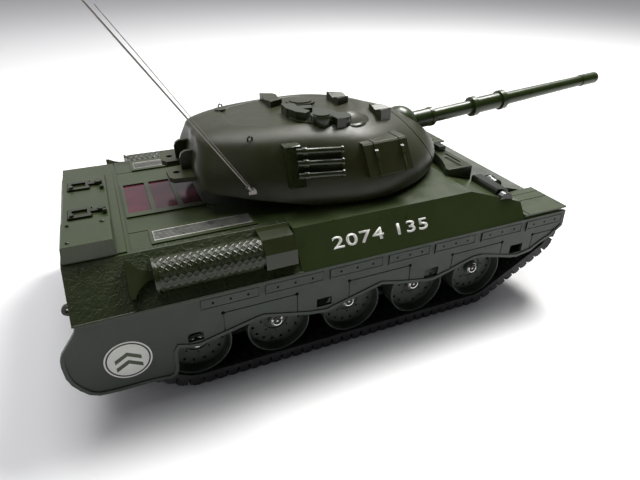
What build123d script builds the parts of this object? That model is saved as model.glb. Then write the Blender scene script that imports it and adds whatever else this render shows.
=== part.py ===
from build123d import *
import os, math

os.makedirs("parts", exist_ok=True)

# ------------------------------------------------------------------ driving dimensions (mm)
# X forward, Y left, Z up. Z = 0 is the ground under the tracks.
TURRET_X = 160.0          # hull station of the turret axis (stations run forward from the rear corner)
ORIGIN_X = 194.41         # hull station of the frame origin: middle of the length over skirt and muzzle
HULL_LEN = 301.0          # rear plate to front edge of the mudguards
HALF_W = 85.0             # skirt outer face
SKIRT_T = 2.4             # skirt plate thickness
SILL_Z = 61.7             # joint line between skirt and upper hull
DECK_Z = 82.1             # engine deck and fighting deck level
DECK_HW_REAR = 63.5       # half width of the deck beside the engine
DECK_HW_FRONT = 71.0      # half width of the deck beside the turret
SHELL_T = 2.2             # moulded wall
GLACIS_X0 = 231.0         # where the deck starts to fall to the nose
GLACIS_SLOPE = 20.1 / 68.0
FENDER_X0 = 266.0
FENDER_Z = 63.6
TUB_HW = 53.0             # lower hull half width
TUB_Z0 = 13.0             # belly height
WHEEL_R = 18.6
WHEEL_Z = 26.2
WHEEL_X = [53.3, 99.5, 145.7, 191.9, 238.1]
WHEEL_Y0, WHEEL_Y1 = 60.5, 80.0   # back face and front lip of a road wheel
HUB_Y = 74.4              # hub face, set back inside the dish
AXLE_R = 1.6
AXLE_CLEAR = 0.06
SPROCKET = (12.0, 42.3)
IDLER = (284.6, 42.3)
END_R = 9.4               # root radius of sprocket and idler
BELT_CLEAR = 0.3
BELT_T = 7.6 - BELT_CLEAR   # belt and cleat together
BELT_Y0, BELT_Y1 = 56.0, 81.5
PAD_PITCH = 6.6
RING_R = 47.0             # turret ring hole in the deck
RIM_Z = 84.6              # lower rim of the turret
GUN_TILT = 5.1            # rest elevation of the gun, degrees
TRUN_X, TRUN_Z = 219.0, 105.6
GEAR_N, PINION_N, MODULE = 26, 10, 0.6


def X(x):
    """hull station (from the rear corner) to model X"""
    return x - ORIGIN_X


def save(shape, name, label=None):
    shape.label = name
    export_step(shape, f"parts/{name}.step")
    print(name, round(shape.volume, 1))


def solids_of(s):
    return s.solids()


def comp(items):
    out = []
    for i in items:
        out += list(i.solids())
    return Compound(children=[]) if not out else Compound(out)


def box(x0, x1, y0, y1, z0, z1):
    """box in hull stations"""
    return Pos(X((x0 + x1) / 2), (y0 + y1) / 2, (z0 + z1) / 2) * Box(x1 - x0, abs(y1 - y0), z1 - z0)


def ycyl(x, z, r, y0, y1):
    return Pos(X(x), (y0 + y1) / 2, z) * Rot(90, 0, 0) * Cylinder(r, abs(y1 - y0))


def zcyl(x, y, r, z0, z1):
    return Pos(X(x), y, (z0 + z1) / 2) * Cylinder(r, z1 - z0)


def xz_prism(pts, y0, y1):
    """closed outline in (station, z) swept from y0 to y1"""
    wire = Polyline([(X(a), min(y0, y1), b) for a, b in pts], close=True)
    f = make_face(wire.edges())
    f = Face(Wire(wire.edges()))
    return extrude(f, amount=abs(y1 - y0), dir=(0, 1, 0))


def yz_prism(pts, x0, x1):
    wire = Polyline([(X(x0), a, b) for a, b in pts], close=True)
    f = Face(Wire(wire.edges()))
    return extrude(f, amount=x1 - x0, dir=(1, 0, 0))


def xy_prism(pts, z0, z1):
    wire = Polyline([(X(a), b, z0) for a, b in pts], close=True)
    f = Face(Wire(wire.edges()))
    return extrude(f, amount=z1 - z0, dir=(0, 0, 1))


def mirror_y(s):
    return s.mirror(Plane.XZ)


# ================================================================== UPPER HULL
def glacis_z(x):
    return DECK_Z - (x - GLACIS_X0) * GLACIS_SLOPE


def hull_solid(off):
    """outer form of the upper hull, shrunk by off on every skin"""
    k = off * 1.22
    rear = yz_prism([(-HALF_W + k, SILL_Z - 1), (-HALF_W + k, SILL_Z), (-DECK_HW_REAR + k * 0.72, DECK_Z - off),
                     (DECK_HW_REAR - k * 0.72, DECK_Z - off), (HALF_W - k, SILL_Z), (HALF_W - k, SILL_Z - 1)],
                    -2 + off, 112.5 + 0.01)
    front = yz_prism([(-HALF_W + k, SILL_Z - 1), (-HALF_W + k, SILL_Z), (-DECK_HW_FRONT + k * 0.72, DECK_Z - off),
                      (DECK_HW_FRONT - k * 0.72, DECK_Z - off), (HALF_W - k, SILL_Z), (HALF_W - k, SILL_Z - 1)],
                     112.5 + off, 301 - off)
    join = yz_prism([(-DECK_HW_REAR + k * 0.72, SILL_Z - 1), (-DECK_HW_REAR + k * 0.72, DECK_Z - off),
                     (DECK_HW_REAR - k * 0.72, DECK_Z - off), (DECK_HW_REAR - k * 0.72, SILL_Z - 1)], 100, 125)
    s = rear + front + join
    # glacis
    xa, xb = GLACIS_X0 - 10, 320
    s -= xz_prism([(xa, DECK_Z + 10 * GLACIS_SLOPE - off), (xb, glacis_z(xb) - off), (xb, 120), (xa, 120)], -100, 100)
    # mudguard shelves, left and right
    for sg in (-1, 1):
        s -= box(FENDER_X0 - off, 310, sg * (52 - off), sg * 100, FENDER_Z - off, 120)
    s -= box(-20, 320, -100, 100, SILL_Z - 5, SILL_Z)
    return s


outer = hull_solid(0.0)
inner = hull_solid(SHELL_T)
inner = inner + yz_prism([(-HALF_W + SHELL_T, SILL_Z - 3), (-HALF_W + SHELL_T, SILL_Z + 0.2), (HALF_W - SHELL_T, SILL_Z + 0.2), (HALF_W - SHELL_T, SILL_Z - 3)], -2 + SHELL_T, 301 - SHELL_T)
upper = outer - inner
# rear plate below the sill
upper += box(-2, 0.2, -54.0, 54.0, 40, SILL_Z + 1)
upper -= zcyl(TURRET_X, 0, RING_R, 70, 100)
# window opening, louvre openings
WIN = (31.4, 76.0, -25.0, 25.0)          # window frame footprint
upper -= box(WIN[0] + 1.0, WIN[1] - 1.0, WIN[2] + 1.6, WIN[3] - 1.6, 78, 90)
LOUV = (42.0, 95.0, 46.0, 57.0)
for sg in (-1, 1):
    upper -= box(LOUV[0], LOUV[1], sg * LOUV[2], sg * LOUV[3], 78, 90)
    # raised louvre surround with a lower outer step
    upper += box(40.5, 96.5, sg * 43.2, sg * 59.4, DECK_Z, DECK_Z + 0.8) - box(LOUV[0], LOUV[1], sg * LOUV[2], sg * LOUV[3], 78, 90)
# panel grooves of the engine deck
upper -= box(29.8, 30.6, -62.5, 62.5, DECK_Z - 0.5, 90)
for y in (-42.6, 42.6):
    upper -= box(30.6, 112, y - 0.35, y + 0.35, DECK_Z - 0.5, DECK_Z + 0.01)
# screw bosses under the deck (hollow posts)
BOSS = [(54.0, -37.0), (54.0, 37.0), (122.0, -46.0), (122.0, 46.0), (222.0, -44.0), (222.0, 44.0)]
for bx, by in BOSS:
    upper += zcyl(bx, by, 4.0, 62.4, 80.5)
    upper -= zcyl(bx, by, 1.25, 60.0, 76.0)

# raised cover over the rear of the engine deck
cov = xz_prism([(-2, DECK_Z), (-2, 84.0), (-0.8, 85.2), (23.2, 85.2), (24.0, DECK_Z)], -40.0, 40.0)
foot = xz_prism([(-2, DECK_Z), (-2, 82.9), (28.0, 82.9), (28.6, DECK_Z)], -61.8, 46)
# tall box on the right end of the cover
cov = cov + foot + xz_prism([(-1.4, DECK_Z), (-0.4, 91.0), (0.2, 91.6), (22.6, 91.6), (23.2, 91.2), (23.9, DECK_Z)], -62.4, -37.0)
cov -= box(1.5, 14.5, 17.0, 31.5, 83.9, 90)      # recess of the folded gun lock
cov -= box(1.5, 14.5, -22.0, -8.0, 83.9, 90)
save(cov, "rear_deck_cover")

# folded gun travel lock: two arms with knobs, lying in the cover's recesses
lock = []
for y0 in (18.0, -21.0):
    a = box(2.0, 14.0, y0, y0 + 12.0, 83.9, 86.2) - box(4.0, 12.0, y0 + 3, y0 + 9.0, 85.0, 87)
    a += box(13.5, 18.0, y0 + 4.5, y0 + 7.5, 85.2, 86.6)
    a += zcyl(19.5, y0 + 6, 2.2, 85.2, 87.6)
    a += Pos(X(3.8), y0 + 2.2, 86.2) * Cylinder(1.4, 2.4)
    lock.append(a)
save(comp(lock), "gun_travel_lock")

# engine deck window: smoked maroon pane in three lights, in its frame
win = box(WIN[0] + 1.2, WIN[1] - 1.2, WIN[2] + 1.8, WIN[3] - 1.8, DECK_Z - 0.9, DECK_Z + 0.1)
upper += box(WIN[0] + 0.2, WIN[1] - 0.2, WIN[2] + 0.4, WIN[3] - 0.4, DECK_Z - 1.9, DECK_Z - 0.9) - box(WIN[0] + 2.2, WIN[1] - 2.2, WIN[2] + 3.0, WIN[3] - 3.0, 70, 90)
upper -= box(WIN[0] + 1.2, WIN[1] - 1.2, WIN[2] + 1.8, WIN[3] - 1.8, DECK_Z - 0.9, DECK_Z + 0.1)
save(win, "deck_window")
frame_w = box(WIN[0], WIN[1], WIN[2], WIN[3], DECK_Z - 0.2, DECK_Z + 0.9) - box(WIN[0] + 1.2, WIN[1] - 1.2, WIN[2] + 1.8, WIN[3] - 1.8, DECK_Z - 1, DECK_Z + 0.1)
for x0, x1 in ((33.0, 45.6), (48.2, 60.8), (63.4, 74.6)):
    frame_w -= box(x0, x1, -20.2, 20.2, 78, 90)
upper = upper + frame_w

# louvre grilles: a bed of thin leaning fins running lengthwise, in a thin frame
for sg, nm in ((-1, "louvre_right"), (1, "louvre_left")):
    x0, x1, y0, y1 = LOUV[0] + 0.15, LOUV[1] - 0.15, LOUV[2] + 0.15, LOUV[3] - 0.15
    g = box(x0, x1, sg * y0, sg * y1, DECK_Z - 1.6, DECK_Z - 0.6)
    ring = box(x0, x1, sg * y0, sg * y1, DECK_Z - 0.6, DECK_Z + 0.9) - box(x0 + 0.8, x1 - 0.8, sg * (y0 + 0.8), sg * (y1 - 0.8), 70, 90)
    fins = []
    n = 7
    for i in range(n):
        yc = y0 + 0.8 + (i + 0.5) * (y1 - y0 - 1.6) / n
        f = Pos(X((x0 + x1) / 2), sg * yc, DECK_Z - 0.1) * Rot(sg * 24, 0, 0) * Box(60, 0.55, 1.7)
        fins.append(f)
    clip = box(x0 + 0.4, x1 - 0.4, sg * (y0 + 0.4), sg * (y1 - 0.4), DECK_Z - 1, DECK_Z + 0.6)
    fs = fins[0]
    for f in fins[1:]:
        fs = fs + f
    fs = fs & clip
    save(g + ring + fs, nm)

# exhaust mufflers lying on the side slopes, with flared outlet behind and a faceted box in front
MUF_Y, MUF_Z, MUF_R = 74.5, 73.4, 8.5


def slope_cut(extra=0.0):
    """the rear side slope as a half space body (everything inside the hull)"""
    return yz_prism([(-DECK_HW_REAR, DECK_Z), (-HALF_W, SILL_Z), (-HALF_W, 50), (0, 50), (0, DECK_Z)], 0, 112.5)


for sg, nm in ((-1, "muffler_right"), (1, "muffler_left")):
    body = Pos(X((38 + 93) / 2), -MUF_Y, MUF_Z) * Rot(0, 90, 0) * Cylinder(MUF_R, 55)
    collar = Pos(X(38.6), -MUF_Y, MUF_Z) * Rot(0, 90, 0) * Cylinder(MUF_R + 0.7, 1.6)
    fb = yz_prism([(-64, 82.6), (-69.5, 83.2), (-77.5, 82.4), (-83.6, 76.5), (-84.4, 68.0), (-80.5, 64.6), (-72, 66)], 93, 110.5)
    # fishtail outlet, lying along the slope
    fan = [(40.0, 2.3), (36.6, 2.3), (34.0, 3.0), (31.2, 5.0), (28.8, 8.0), (27.4, 9.8), (25.8, 9.8)]
    throat = [(37.0, 1.2), (34.2, 1.9), (31.6, 3.9), (29.4, 6.7), (27.8, 8.7), (25.0, 8.7)]
    lay = Plane(origin=(0, -MUF_Y, MUF_Z), x_dir=(1, 0, 0), z_dir=(0, -0.689, 0.725))

    def flat(pts, lo, hi):
        both = [(X(x), v) for x, v in pts] + [(X(x), -v) for x, v in reversed(pts)]
        return extrude(lay.offset(lo) * Face(Wire(Polyline([(x, v) for x, v in both], close=True).edges())), amount=hi - lo)
    flare, mouth = flat(fan, -1.5, 4.2), flat(throat, 0.4, 3.2)
    m = body + collar + fb + (flare - mouth)
    m -= slope_cut()
    if sg > 0:
        m = mirror_y(m)
    save(m, nm)

# driver's hatch box and periscope, hugging the turret on the front deck
hb = xy_prism([(232, -44.5), (251.5, -44.5), (251.5, 20), (232, 20)], 70, 86.2)
hb -= xy_prism([(200, -60), (251.5, -60), (251.5, 60), (200, 60)], 60, 70.01)
below = xz_prism([(200, DECK_Z), (GLACIS_X0, DECK_Z), (300, glacis_z(300)), (300, 50), (200, 50)], -60, 60)
hb -= below
hb -= zcyl(TURRET_X, 0, 83.0, 60, 100)
hb -= box(246.5, 248.3, -36, -18, 85.4, 90)
hb -= box(242.5, 243.6, -42, -24, 85.6, 90)
hb -= box(244.2, 245.0, -42, -24, 85.6, 90)
per = box(245.5, 251.0, -14.5, -6.0, 86.2, 89.8)
save(hb + per, "driver_hatch")

# headlight guards across the shoulders of the glacis
guards = []
for sg in (-1, 1):
    g = xz_prism([(250.6, 60), (250.6, 79.0), (251.6, 80.2), (258.6, 79.6), (260.4, 77.8), (260.4, 60)], sg * 46.5, sg * 71.5)
    g += ycyl(255.6, 73.4, 5.2, sg * 71.5, sg * 76.0) + box(250.8, 260.2, sg * 70.0, sg * 75.4, 66.0, 74.0)
    g += Pos(X(262.5), sg * 50.5, 74.6) * Sphere(5.4) + ycyl(262.5, 74.6, 4.6, sg * 50.5, sg * 58.0)
    guards.append(g)
cutter = hull_solid(0.0)
guards = [g - cutter for g in guards]
guards = [Compound([max(g.solids(), key=lambda s: s.volume)]) for g in guards]
save(comp(guards), "headlight_guards")

# mudguard top plates with plank grooves
fend = []
for sg in (-1, 1):
    f = box(FENDER_X0 + 0.3, 301, sg * 52.3, sg * 84.6, FENDER_Z, FENDER_Z + 1.2)
    f -= box(FENDER_X0, 302, sg * 66.6, sg * 67.2, FENDER_Z + 0.6, 70)
    f -= box(269.2, 269.8, sg * 67.2, sg * 85, FENDER_Z + 0.6, 70)
    f -= box(FENDER_X0, 302, sg * 58.4, sg * 58.9, FENDER_Z + 0.6, 70)
    fend.append(f)
upper = upper + fend[0] + fend[1]
save(upper, "upper_hull")

# tow hooks on the rear plate
hooks = []
for y in (-50, 50):
    h = box(-3.6, -2, y - 3, y + 3, 43, 61.4)
    h += Pos(X(-6.6), y, 48.4) * Rot(90, 0, 0) * (Cylinder(3.2, 2.6) - Cylinder(1.3, 5))
    h += box(-4.6, -2.8, y - 1.3, y + 1.3, 46.6, 50.2) - Pos(X(-6.6), y, 48.4) * Rot(90, 0, 0) * Cylinder(1.3, 6)
    h += box(-5.4, -3.0, y - 1.8, y + 1.8, 56.0, 59.6)
    hooks.append(h)
save(comp(hooks), "tow_hooks")

# ================================================================== SKIRTS
SK = [(-0.6, SILL_Z), (-2.0, 57.9), (-9.9, 47.1), (-11.0, 44.3), (-11.4, 40.6), (-11.1, 32.8), (-9.6, 27.7), (-7.0, 23.1),
      (-3.4, 18.6), (0.9, 16.2), (10.3, 15.3), (25.3, 15.2), (32.9, 14.6), (36.4, 13.9), (39.9, 15.9), (41.2, 19.8),
      (42.0, 30.9), (43.5, 33.2), (48.3, 31.6), (53.4, 30.8), (85.3, 38.0), (89.3, 38.6), (116.4, 32.0), (126.5, 30.6),
      (162.8, 40.0), (174.1, 37.2), (182.0, 35.6), (196.9, 32.9), (200.5, 33.0), (212.2, 35.9), (219.4, 38.4), (229.8, 41.1),
      (237.0, 40.7), (260.7, 34.4), (266.5, 33.6), (277.7, 35.3), (285.1, 39.9), (293.0, 43.2), (297.2, 46.9), (301.6, 50.2),
      (301.0, SILL_Z)]
SLOTS = [(48.2, 56.4, 34.4, 40.0), (121.0, 130.2, 35.2, 40.8), (193.0, 203.0, 35.6, 42.0), (259.4, 269.6, 37.0, 43.4)]
PANELS = [(57.0, 88.0), (91.5, 125.0), (129.0, 162.5), (166.5, 194.5), (198.5, 228.0), (233.0, 265.0), (269.0, 299.0)]
HINGE = [67.7, 109.1, 141.3, 181.9, 212.6, 251.5, 276.7]


def inset(pts, d):
    """shrink the closed outline by d towards its middle line (used for the raised lip)"""
    n = len(pts)
    area = sum(pts[i][0] * pts[(i + 1) % n][1] - pts[(i + 1) % n][0] * pts[i][1] for i in range(n))
    s = 1 if area > 0 else -1
    out = []
    for i in range(n):
        p0, p1, p2 = pts[i - 1], pts[i], pts[(i + 1) % n]
        def nrm(a, b):
            dx, dy = b[0] - a[0], b[1] - a[1]
            l = math.hypot(dx, dy)
            return (-dy / l * s, dx / l * s)
        n1, n2 = nrm(p0, p1), nrm(p1, p2)
        bx, by = n1[0] + n2[0], n1[1] + n2[1]
        q = 1 + n1[0] * n2[0] + n1[1] * n2[1]
        out.append((p1[0] + d * bx / q, p1[1] + d * by / q))
    return out


def skirt_low(x):
    """height of the lower edge at a station"""
    z = 100.0
    for (xa, za), (xb, zb) in zip(SK[11:], SK[12:-1]):
        if xa <= x <= xb and xb > xa:
            z = min(z, za + (zb - za) * (x - xa) / (xb - xa))
    return z


for sg, nm in ((-1, "skirt_right"), (1, "skirt_left")):
    s = xz_prism(SK, -HALF_W, -HALF_W + SKIRT_T)
    rec = xz_prism([(a, min(b, 60.4)) for a, b in inset(SK, 2.0)], -HALF_W - 0.01, -HALF_W + 0.6)
    s -= rec
    for x0, x1 in PANELS:
        s += box(x0, x1, -HALF_W, -HALF_W + 0.7, 52.5, 60.6)
        for k in range(3):
            xc = x0 + (x1 - x0) * (0.2 + 0.3 * k)
            s -= ycyl(xc, 56.6, 0.7, -HALF_W - 0.5, -HALF_W + 0.5)
    for x0, x1, z0, z1 in SLOTS:
        s -= box(x0, x1, -HALF_W - 1, -HALF_W + 5, z0, z1)
    for hx in HINGE:
        s -= ycyl(hx, 48.2, 1.1, -HALF_W - 1, -HALF_W + 1.2)
    # moulded grooves joining the hinge points in pairs and running down to the lip
    for i in (0, 2, 4):
        s -= box(HINGE[i], HINGE[i + 1], -HALF_W - 1, -HALF_W + 1.15, 47.9, 48.5)
    s -= box(HINGE[6], 298.5, -HALF_W - 1, -HALF_W + 1.15, 47.9, 48.5)
    for hx in HINGE:
        s -= box(hx - 0.3, hx + 0.3, -HALF_W - 1, -HALF_W + 1.15, skirt_low(hx) + 2.4, 48.2)
    # inner rail that carries the skirt on the hull sill, with the rear end closing web
    s += box(2, 299, -HALF_W + SKIRT_T, -HALF_W + SKIRT_T + 3.2, 60.2, SILL_Z)
    if sg > 0:
        s = mirror_y(s)
    save(s, nm)

# ================================================================== LOWER HULL
tub_o = xz_prism([(2, 30), (14, TUB_Z0), (252, TUB_Z0), (296, 44), (298.5, 58), (298.5, SILL_Z - 0.0), (0.3, SILL_Z - 0.0), (0.3, 40)], -TUB_HW, TUB_HW)
tub_i = xz_prism([(4.4, 31), (15.2, TUB_Z0 + 2.2), (251.3, TUB_Z0 + 2.2), (293.9, 45.2), (296.2, 58.4), (296.2, 70), (2.6, 70), (2.6, 41)], -TUB_HW + 2.2, TUB_HW - 2.2)
tub = tub_o - tub_i
# rim flange that meets the sill of the upper hull
fl = box(0.3, 298.5, -79.4, 79.4, 60.2, SILL_Z) - box(2.6, 296.2, -50.8, 50.8, 50, 70)
tub += fl
# battery bay opening, with a ledge for the cover
BAY = (96.0, 176.0, -32.0, 32.0)
tub -= box(BAY[0], BAY[1], BAY[2], BAY[3], 10, 16)
bay = box(BAY[0] - 2, BAY[1] + 2, BAY[2] - 2, BAY[3] + 2, TUB_Z0 + 2.2, 33.5) - box(BAY[0], BAY[1], BAY[2], BAY[3], 10, 32.0)
tub += bay
# axle bosses and end shaft bushes through the side walls
for x in WHEEL_X:
    for sg in (-1, 1):
        tub += ycyl(x, WHEEL_Z, 4.0, sg * (TUB_HW - 3), sg * (TUB_HW + 2.2))
        tub -= ycyl(x, WHEEL_Z, AXLE_R, sg * 44, sg * 60)
for (x, z), r in ((SPROCKET, 2.0), (IDLER, 2.0)):
    for sg in (-1, 1):
        tub += ycyl(x, z, 4.5, sg * (TUB_HW - 2.2), sg * (TUB_HW + 2.2)) & box(0.31, 298.4, -60, 60, 13, 60)
        tub -= ycyl(x, z, r if (x, z) == IDLER else r + AXLE_CLEAR, sg * 44, sg * 60)
# slot for the power switch in the belly
SW = (196.0, 212.0, -4.0, 4.0)
tub -= box(SW[0] + 3.0, SW[1] - 3.0, -2.4, 2.4, 10, 17)
# screw posts
for bx, by in BOSS:
    tub += zcyl(bx, by, 4.0, TUB_Z0 + 1, 62.4)
    tub -= zcyl(bx, by, 1.6, 8, 70)
    tub -= zcyl(bx, by, 3.1, 8, 44)
# battery contact walls and board posts
tub += box(BAY[0], BAY[1], 26.1, BAY[3] + 0.1, 16.0, 32.0) + box(BAY[0], BAY[1], BAY[2] - 0.1, -26.9, 16.0, 32.0)
tub += zcyl(190, -34, 2.2, TUB_Z0 + 2.0, 40.0) + zcyl(246, -6, 2.2, TUB_Z0 + 2.0, 40.0)
save(tub, "lower_hull")

# machine screws joining the hull halves (identical, one node)
scr = []
for bx, by in BOSS:
    hz = 44.0
    s = zcyl(bx, by, 1.25, hz, 74.5) + zcyl(bx, by, 2.7, hz - 2.0, hz)
    s -= Pos(X(bx), by, hz - 2.0) * Box(3.6, 0.7, 1.2) + Pos(X(bx), by, hz - 2.0) * Box(0.7, 3.6, 1.2)
    scr.append(s)
save(comp(scr), "chassis_screws")

# ================================================================== RUNNING GEAR
def revolve_y(pts, x, z, sg):
    """pts: (radius, |y|) outline, spun about the wheel axis"""
    w = Polyline([(X(x) + r, sg * y, z) for r, y in pts], close=True)
    f = Face(Wire(w.edges()))
    return revolve(f, Axis((X(x), 0, z), (0, 1, 0)), 360)


def road_wheel(x, sg):
    h = AXLE_R + AXLE_CLEAR
    y0, y1 = WHEEL_Y0, WHEEL_Y1
    pts = [(h, y0 - 2.0), (5.0, y0 - 2.0), (5.0, y0), (WHEEL_R, y0), (WHEEL_R, y1 - 0.4), (WHEEL_R - 0.3, y1), (WHEEL_R - 0.7, y1),
           (WHEEL_R - 0.95, y1 - 0.4), (17.2, HUB_Y), (16.6, HUB_Y - 0.8), (7.4, HUB_Y - 0.8), (7.2, HUB_Y - 1.4), (4.6, HUB_Y - 1.4), (4.3, HUB_Y + 0.3), (h, HUB_Y + 0.3)]
    w = revolve_y(pts, x, WHEEL_Z, sg)
    holes = None
    for k in range(16):
        a = 2 * math.pi * (k + 0.5) / 16
        c = Pos(X(x) + 14.4 * math.cos(a), sg * (HUB_Y - 1.0), WHEEL_Z + 14.4 * math.sin(a)) * Rot(90, 0, 0) * Cylinder(0.85, 2.8)
        holes = c if holes is None else holes + c
    for k in range(8):
        a = 2 * math.pi * k / 8
        holes += Pos(X(x) + 9.0 * math.cos(a), sg * (HUB_Y - 1.0), WHEEL_Z + 9.0 * math.sin(a)) * Rot(90, 0, 0) * Cylinder(0.6, 1.6)
    return w - holes


names = []
for i, x in enumerate(WHEEL_X):
    for sg, sd in ((-1, "right"), (1, "left")):
        w = road_wheel(x, sg)
        save(w, f"road_wheel_{sd}_{i + 1}")

# stub axles for road wheels and idlers, steel
ax = []
for x in WHEEL_X:
    for sg in (-1, 1):
        ax.append(ycyl(x, WHEEL_Z, AXLE_R, sg * 48.5, sg * (HUB_Y + 0.6)))
for sg in (-1, 1):
    ax.append(ycyl(IDLER[0], IDLER[1], 2.0, sg * 48.5, sg * 76.6))
save(comp(ax), "stub_axles")
# bright retaining cups pressed on the axle ends
cups = []
for x in WHEEL_X:
    for sg in (-1, 1):
        y = HUB_Y + 0.6
        c = ycyl(x, WHEEL_Z, 3.6, sg * y, sg * (y + 1.0)) + ycyl(x, WHEEL_Z, 2.2, sg * (y + 1.0), sg * (y + 1.5))
        cups.append(c)
save(comp(cups), "axle_cups")

ID_H = 2.0 + AXLE_CLEAR
for sg, sd in ((-1, "right"), (1, "left")):
    pts = [(ID_H, 58.6), (5, 58.6), (5, 60), (END_R, 60), (END_R, 75.4), (END_R - 1.5, 75.4), (END_R - 2.5, 73.4), (6, 73.4), (5.2, 75.8), (ID_H, 75.8)]
    save(revolve_y(pts, IDLER[0], IDLER[1], sg), f"idler_wheel_{sd}")


def spur(n, m, z0, z1, cx, cz, rot=0.0, backlash=0.06, bore=None, sg=1):
    """spur gear with straight sided teeth, axis along Y"""
    rp = n * m / 2
    ra, rd = rp + 0.80 * m, rp - 1.20 * m
    pts = []
    for k in range(n):
        a0 = rot + 2 * math.pi * k / n
        hw_p = math.pi / (2 * n) - backlash / rp / 2
        for rr, f in ((rd, -1.52), (rp, -1.0), (ra, -0.50), (ra, 0.50), (rp, 1.0), (rd, 1.52)):
            a = a0 + f * hw_p
            pts.append((cx + rr * math.cos(a), cz + rr * math.sin(a)))
    g = xz_prism(pts, z0, z1)
    return g


def belt_path(r_extra):
    """outline of the convex loop round sprocket, first and last wheel, idler"""
    cs = [(SPROCKET[0], SPROCKET[1], END_R), (WHEEL_X[0], WHEEL_Z, WHEEL_R), (WHEEL_X[4], WHEEL_Z, WHEEL_R), (IDLER[0], IDLER[1], END_R)]
    cs = [(a, b, r + r_extra) for a, b, r in cs]
    segs = []
    n = len(cs)
    tang = []
    for i in range(n):
        (x0, z0, r0), (x1, z1, r1) = cs[i], cs[(i + 1) % n]
        dx, dz = x1 - x0, z1 - z0
        d = math.hypot(dx, dz)
        th = math.atan2(dz, dx)
        # outer tangent on the right hand side of travel (loop runs anticlockwise)
        b = math.asin((r0 - r1) / d)
        na = th - math.pi / 2 + b * 1.0
        tang.append(na)
    pts = []
    for i in range(n):
        x0, z0, r0 = cs[i]
        a_in, a_out = tang[i - 1], tang[i]
        while a_out < a_in - 1e-9:
            a_out += 2 * math.pi
        k = max(2, int((a_out - a_in) / math.radians(3)) + 1)
        for j in range(k + 1):
            a = a_in + (a_out - a_in) * j / k
            pts.append((x0 + r0 * math.cos(a), z0 + r0 * math.sin(a), math.cos(a), math.sin(a)))
    return pts


def sample(pts, s_list):
    """points at arc lengths s on the closed outline, with outward normals"""
    n = len(pts)
    cum = [0.0]
    for i in range(n):
        a, b = pts[i], pts[(i + 1) % n]
        cum.append(cum[-1] + math.hypot(b[0] - a[0], b[1] - a[1]))
    L = cum[-1]
    out = []
    for s in s_list:
        s = s % L
        i = max(k for k in range(n) if cum[k] <= s + 1e-9)
        a, b = pts[i], pts[(i + 1) % n]
        t = (s - cum[i]) / max(1e-9, cum[i + 1] - cum[i])
        nx, nz = a[2] + (b[2] - a[2]) * t, a[3] + (b[3] - a[3]) * t
        l = math.hypot(nx, nz)
        out.append((a[0] + (b[0] - a[0]) * t, a[1] + (b[1] - a[1]) * t, nx / l, nz / l))
    return out, L


base = belt_path(BELT_CLEAR)
_, LOOP = sample(base, [0])
N_PAD = round(LOOP / PAD_PITCH)
pitch = LOOP / N_PAD
outer_pts = []
ss = []
hs = []
for k in range(N_PAD):
    s0 = k * pitch
    for f, h in ((0.02, BELT_T - 2.8), (0.14, BELT_T - 2.8), (0.18, BELT_T), (0.50, BELT_T), (0.82, BELT_T), (0.86, BELT_T - 2.8), (0.98, BELT_T - 2.8)):
        ss.append(s0 + f * pitch)
        hs.append(h)
sp, _ = sample(base, ss)
outer_pts = [(p[0] + p[2] * h, p[1] + p[3] * h) for p, h in zip(sp, hs)]
# keep the pads on the ground exactly flat
outer_pts = [(a, 0.0 if abs(b) < 0.02 else b) for a, b in outer_pts]
inner_pts = [(p[0], p[1]) for p in base]
clean = [inner_pts[0]]
for p in inner_pts[1:]:
    if math.hypot(p[0] - clean[-1][0], p[1] - clean[-1][1]) > 1e-3:
        clean.append(p)
if math.hypot(clean[0][0] - clean[-1][0], clean[0][1] - clean[-1][1]) < 1e-3:
    clean.pop()
groove_pts = [(p[0] + p[2] * 2.2, p[1] + p[3] * 2.2) for p in base]
gclean = [groove_pts[0]]
for p in groove_pts[1:]:
    if math.hypot(p[0] - gclean[-1][0], p[1] - gclean[-1][1]) > 1e-3:
        gclean.append(p)
if math.hypot(gclean[0][0] - gclean[-1][0], gclean[0][1] - gclean[-1][1]) < 1e-3:
    gclean.pop()
for sg, nm in ((-1, "track_right"), (1, "track_left")):
    o = xz_prism(outer_pts, -BELT_Y1, -BELT_Y0)
    i1 = xz_prism(clean, -BELT_Y1 - 1, -BELT_Y0 + 1)
    i2 = xz_prism(gclean, -71.2, -64.8)          # inner channel for the sprocket teeth
    t = o - i1 - i2
    if sg > 0:
        t = mirror_y(t)
    save(t, nm)

# drive sprockets: drum, toothed disc and outer cap, on the drive shaft
for sg, sd in ((-1, "right"), (1, "left")):
    pts = [(2.0, 57.0), (5, 57.0), (5, 60), (END_R, 60), (END_R, 75.4), (END_R - 1.5, 75.4), (END_R - 2.5, 73.6), (6, 73.6), (5.2, 76.0), (2.0, 76.0)]
    s = revolve_y(pts, SPROCKET[0], SPROCKET[1], sg)
    n = 10
    tooth = []
    for k in range(n):
        a0 = 2 * math.pi * k / n
        for rr, f in ((END_R - 0.5, -0.5), (END_R + 1.7, -0.24), (END_R + 1.7, 0.24), (END_R - 0.5, 0.5)):
            a = a0 + f * 2 * math.pi / n * 0.8
            tooth.append((SPROCKET[0] + rr * math.cos(a), SPROCKET[1] + rr * math.sin(a)))
    d = xz_prism(tooth, min(sg * 66.4, sg * 69.6), max(sg * 66.4, sg * 69.6)) - ycyl(SPROCKET[0], SPROCKET[1], 2.0, sg * 60, sg * 76)
    save(s + d, f"sprocket_{sd}")

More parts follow.
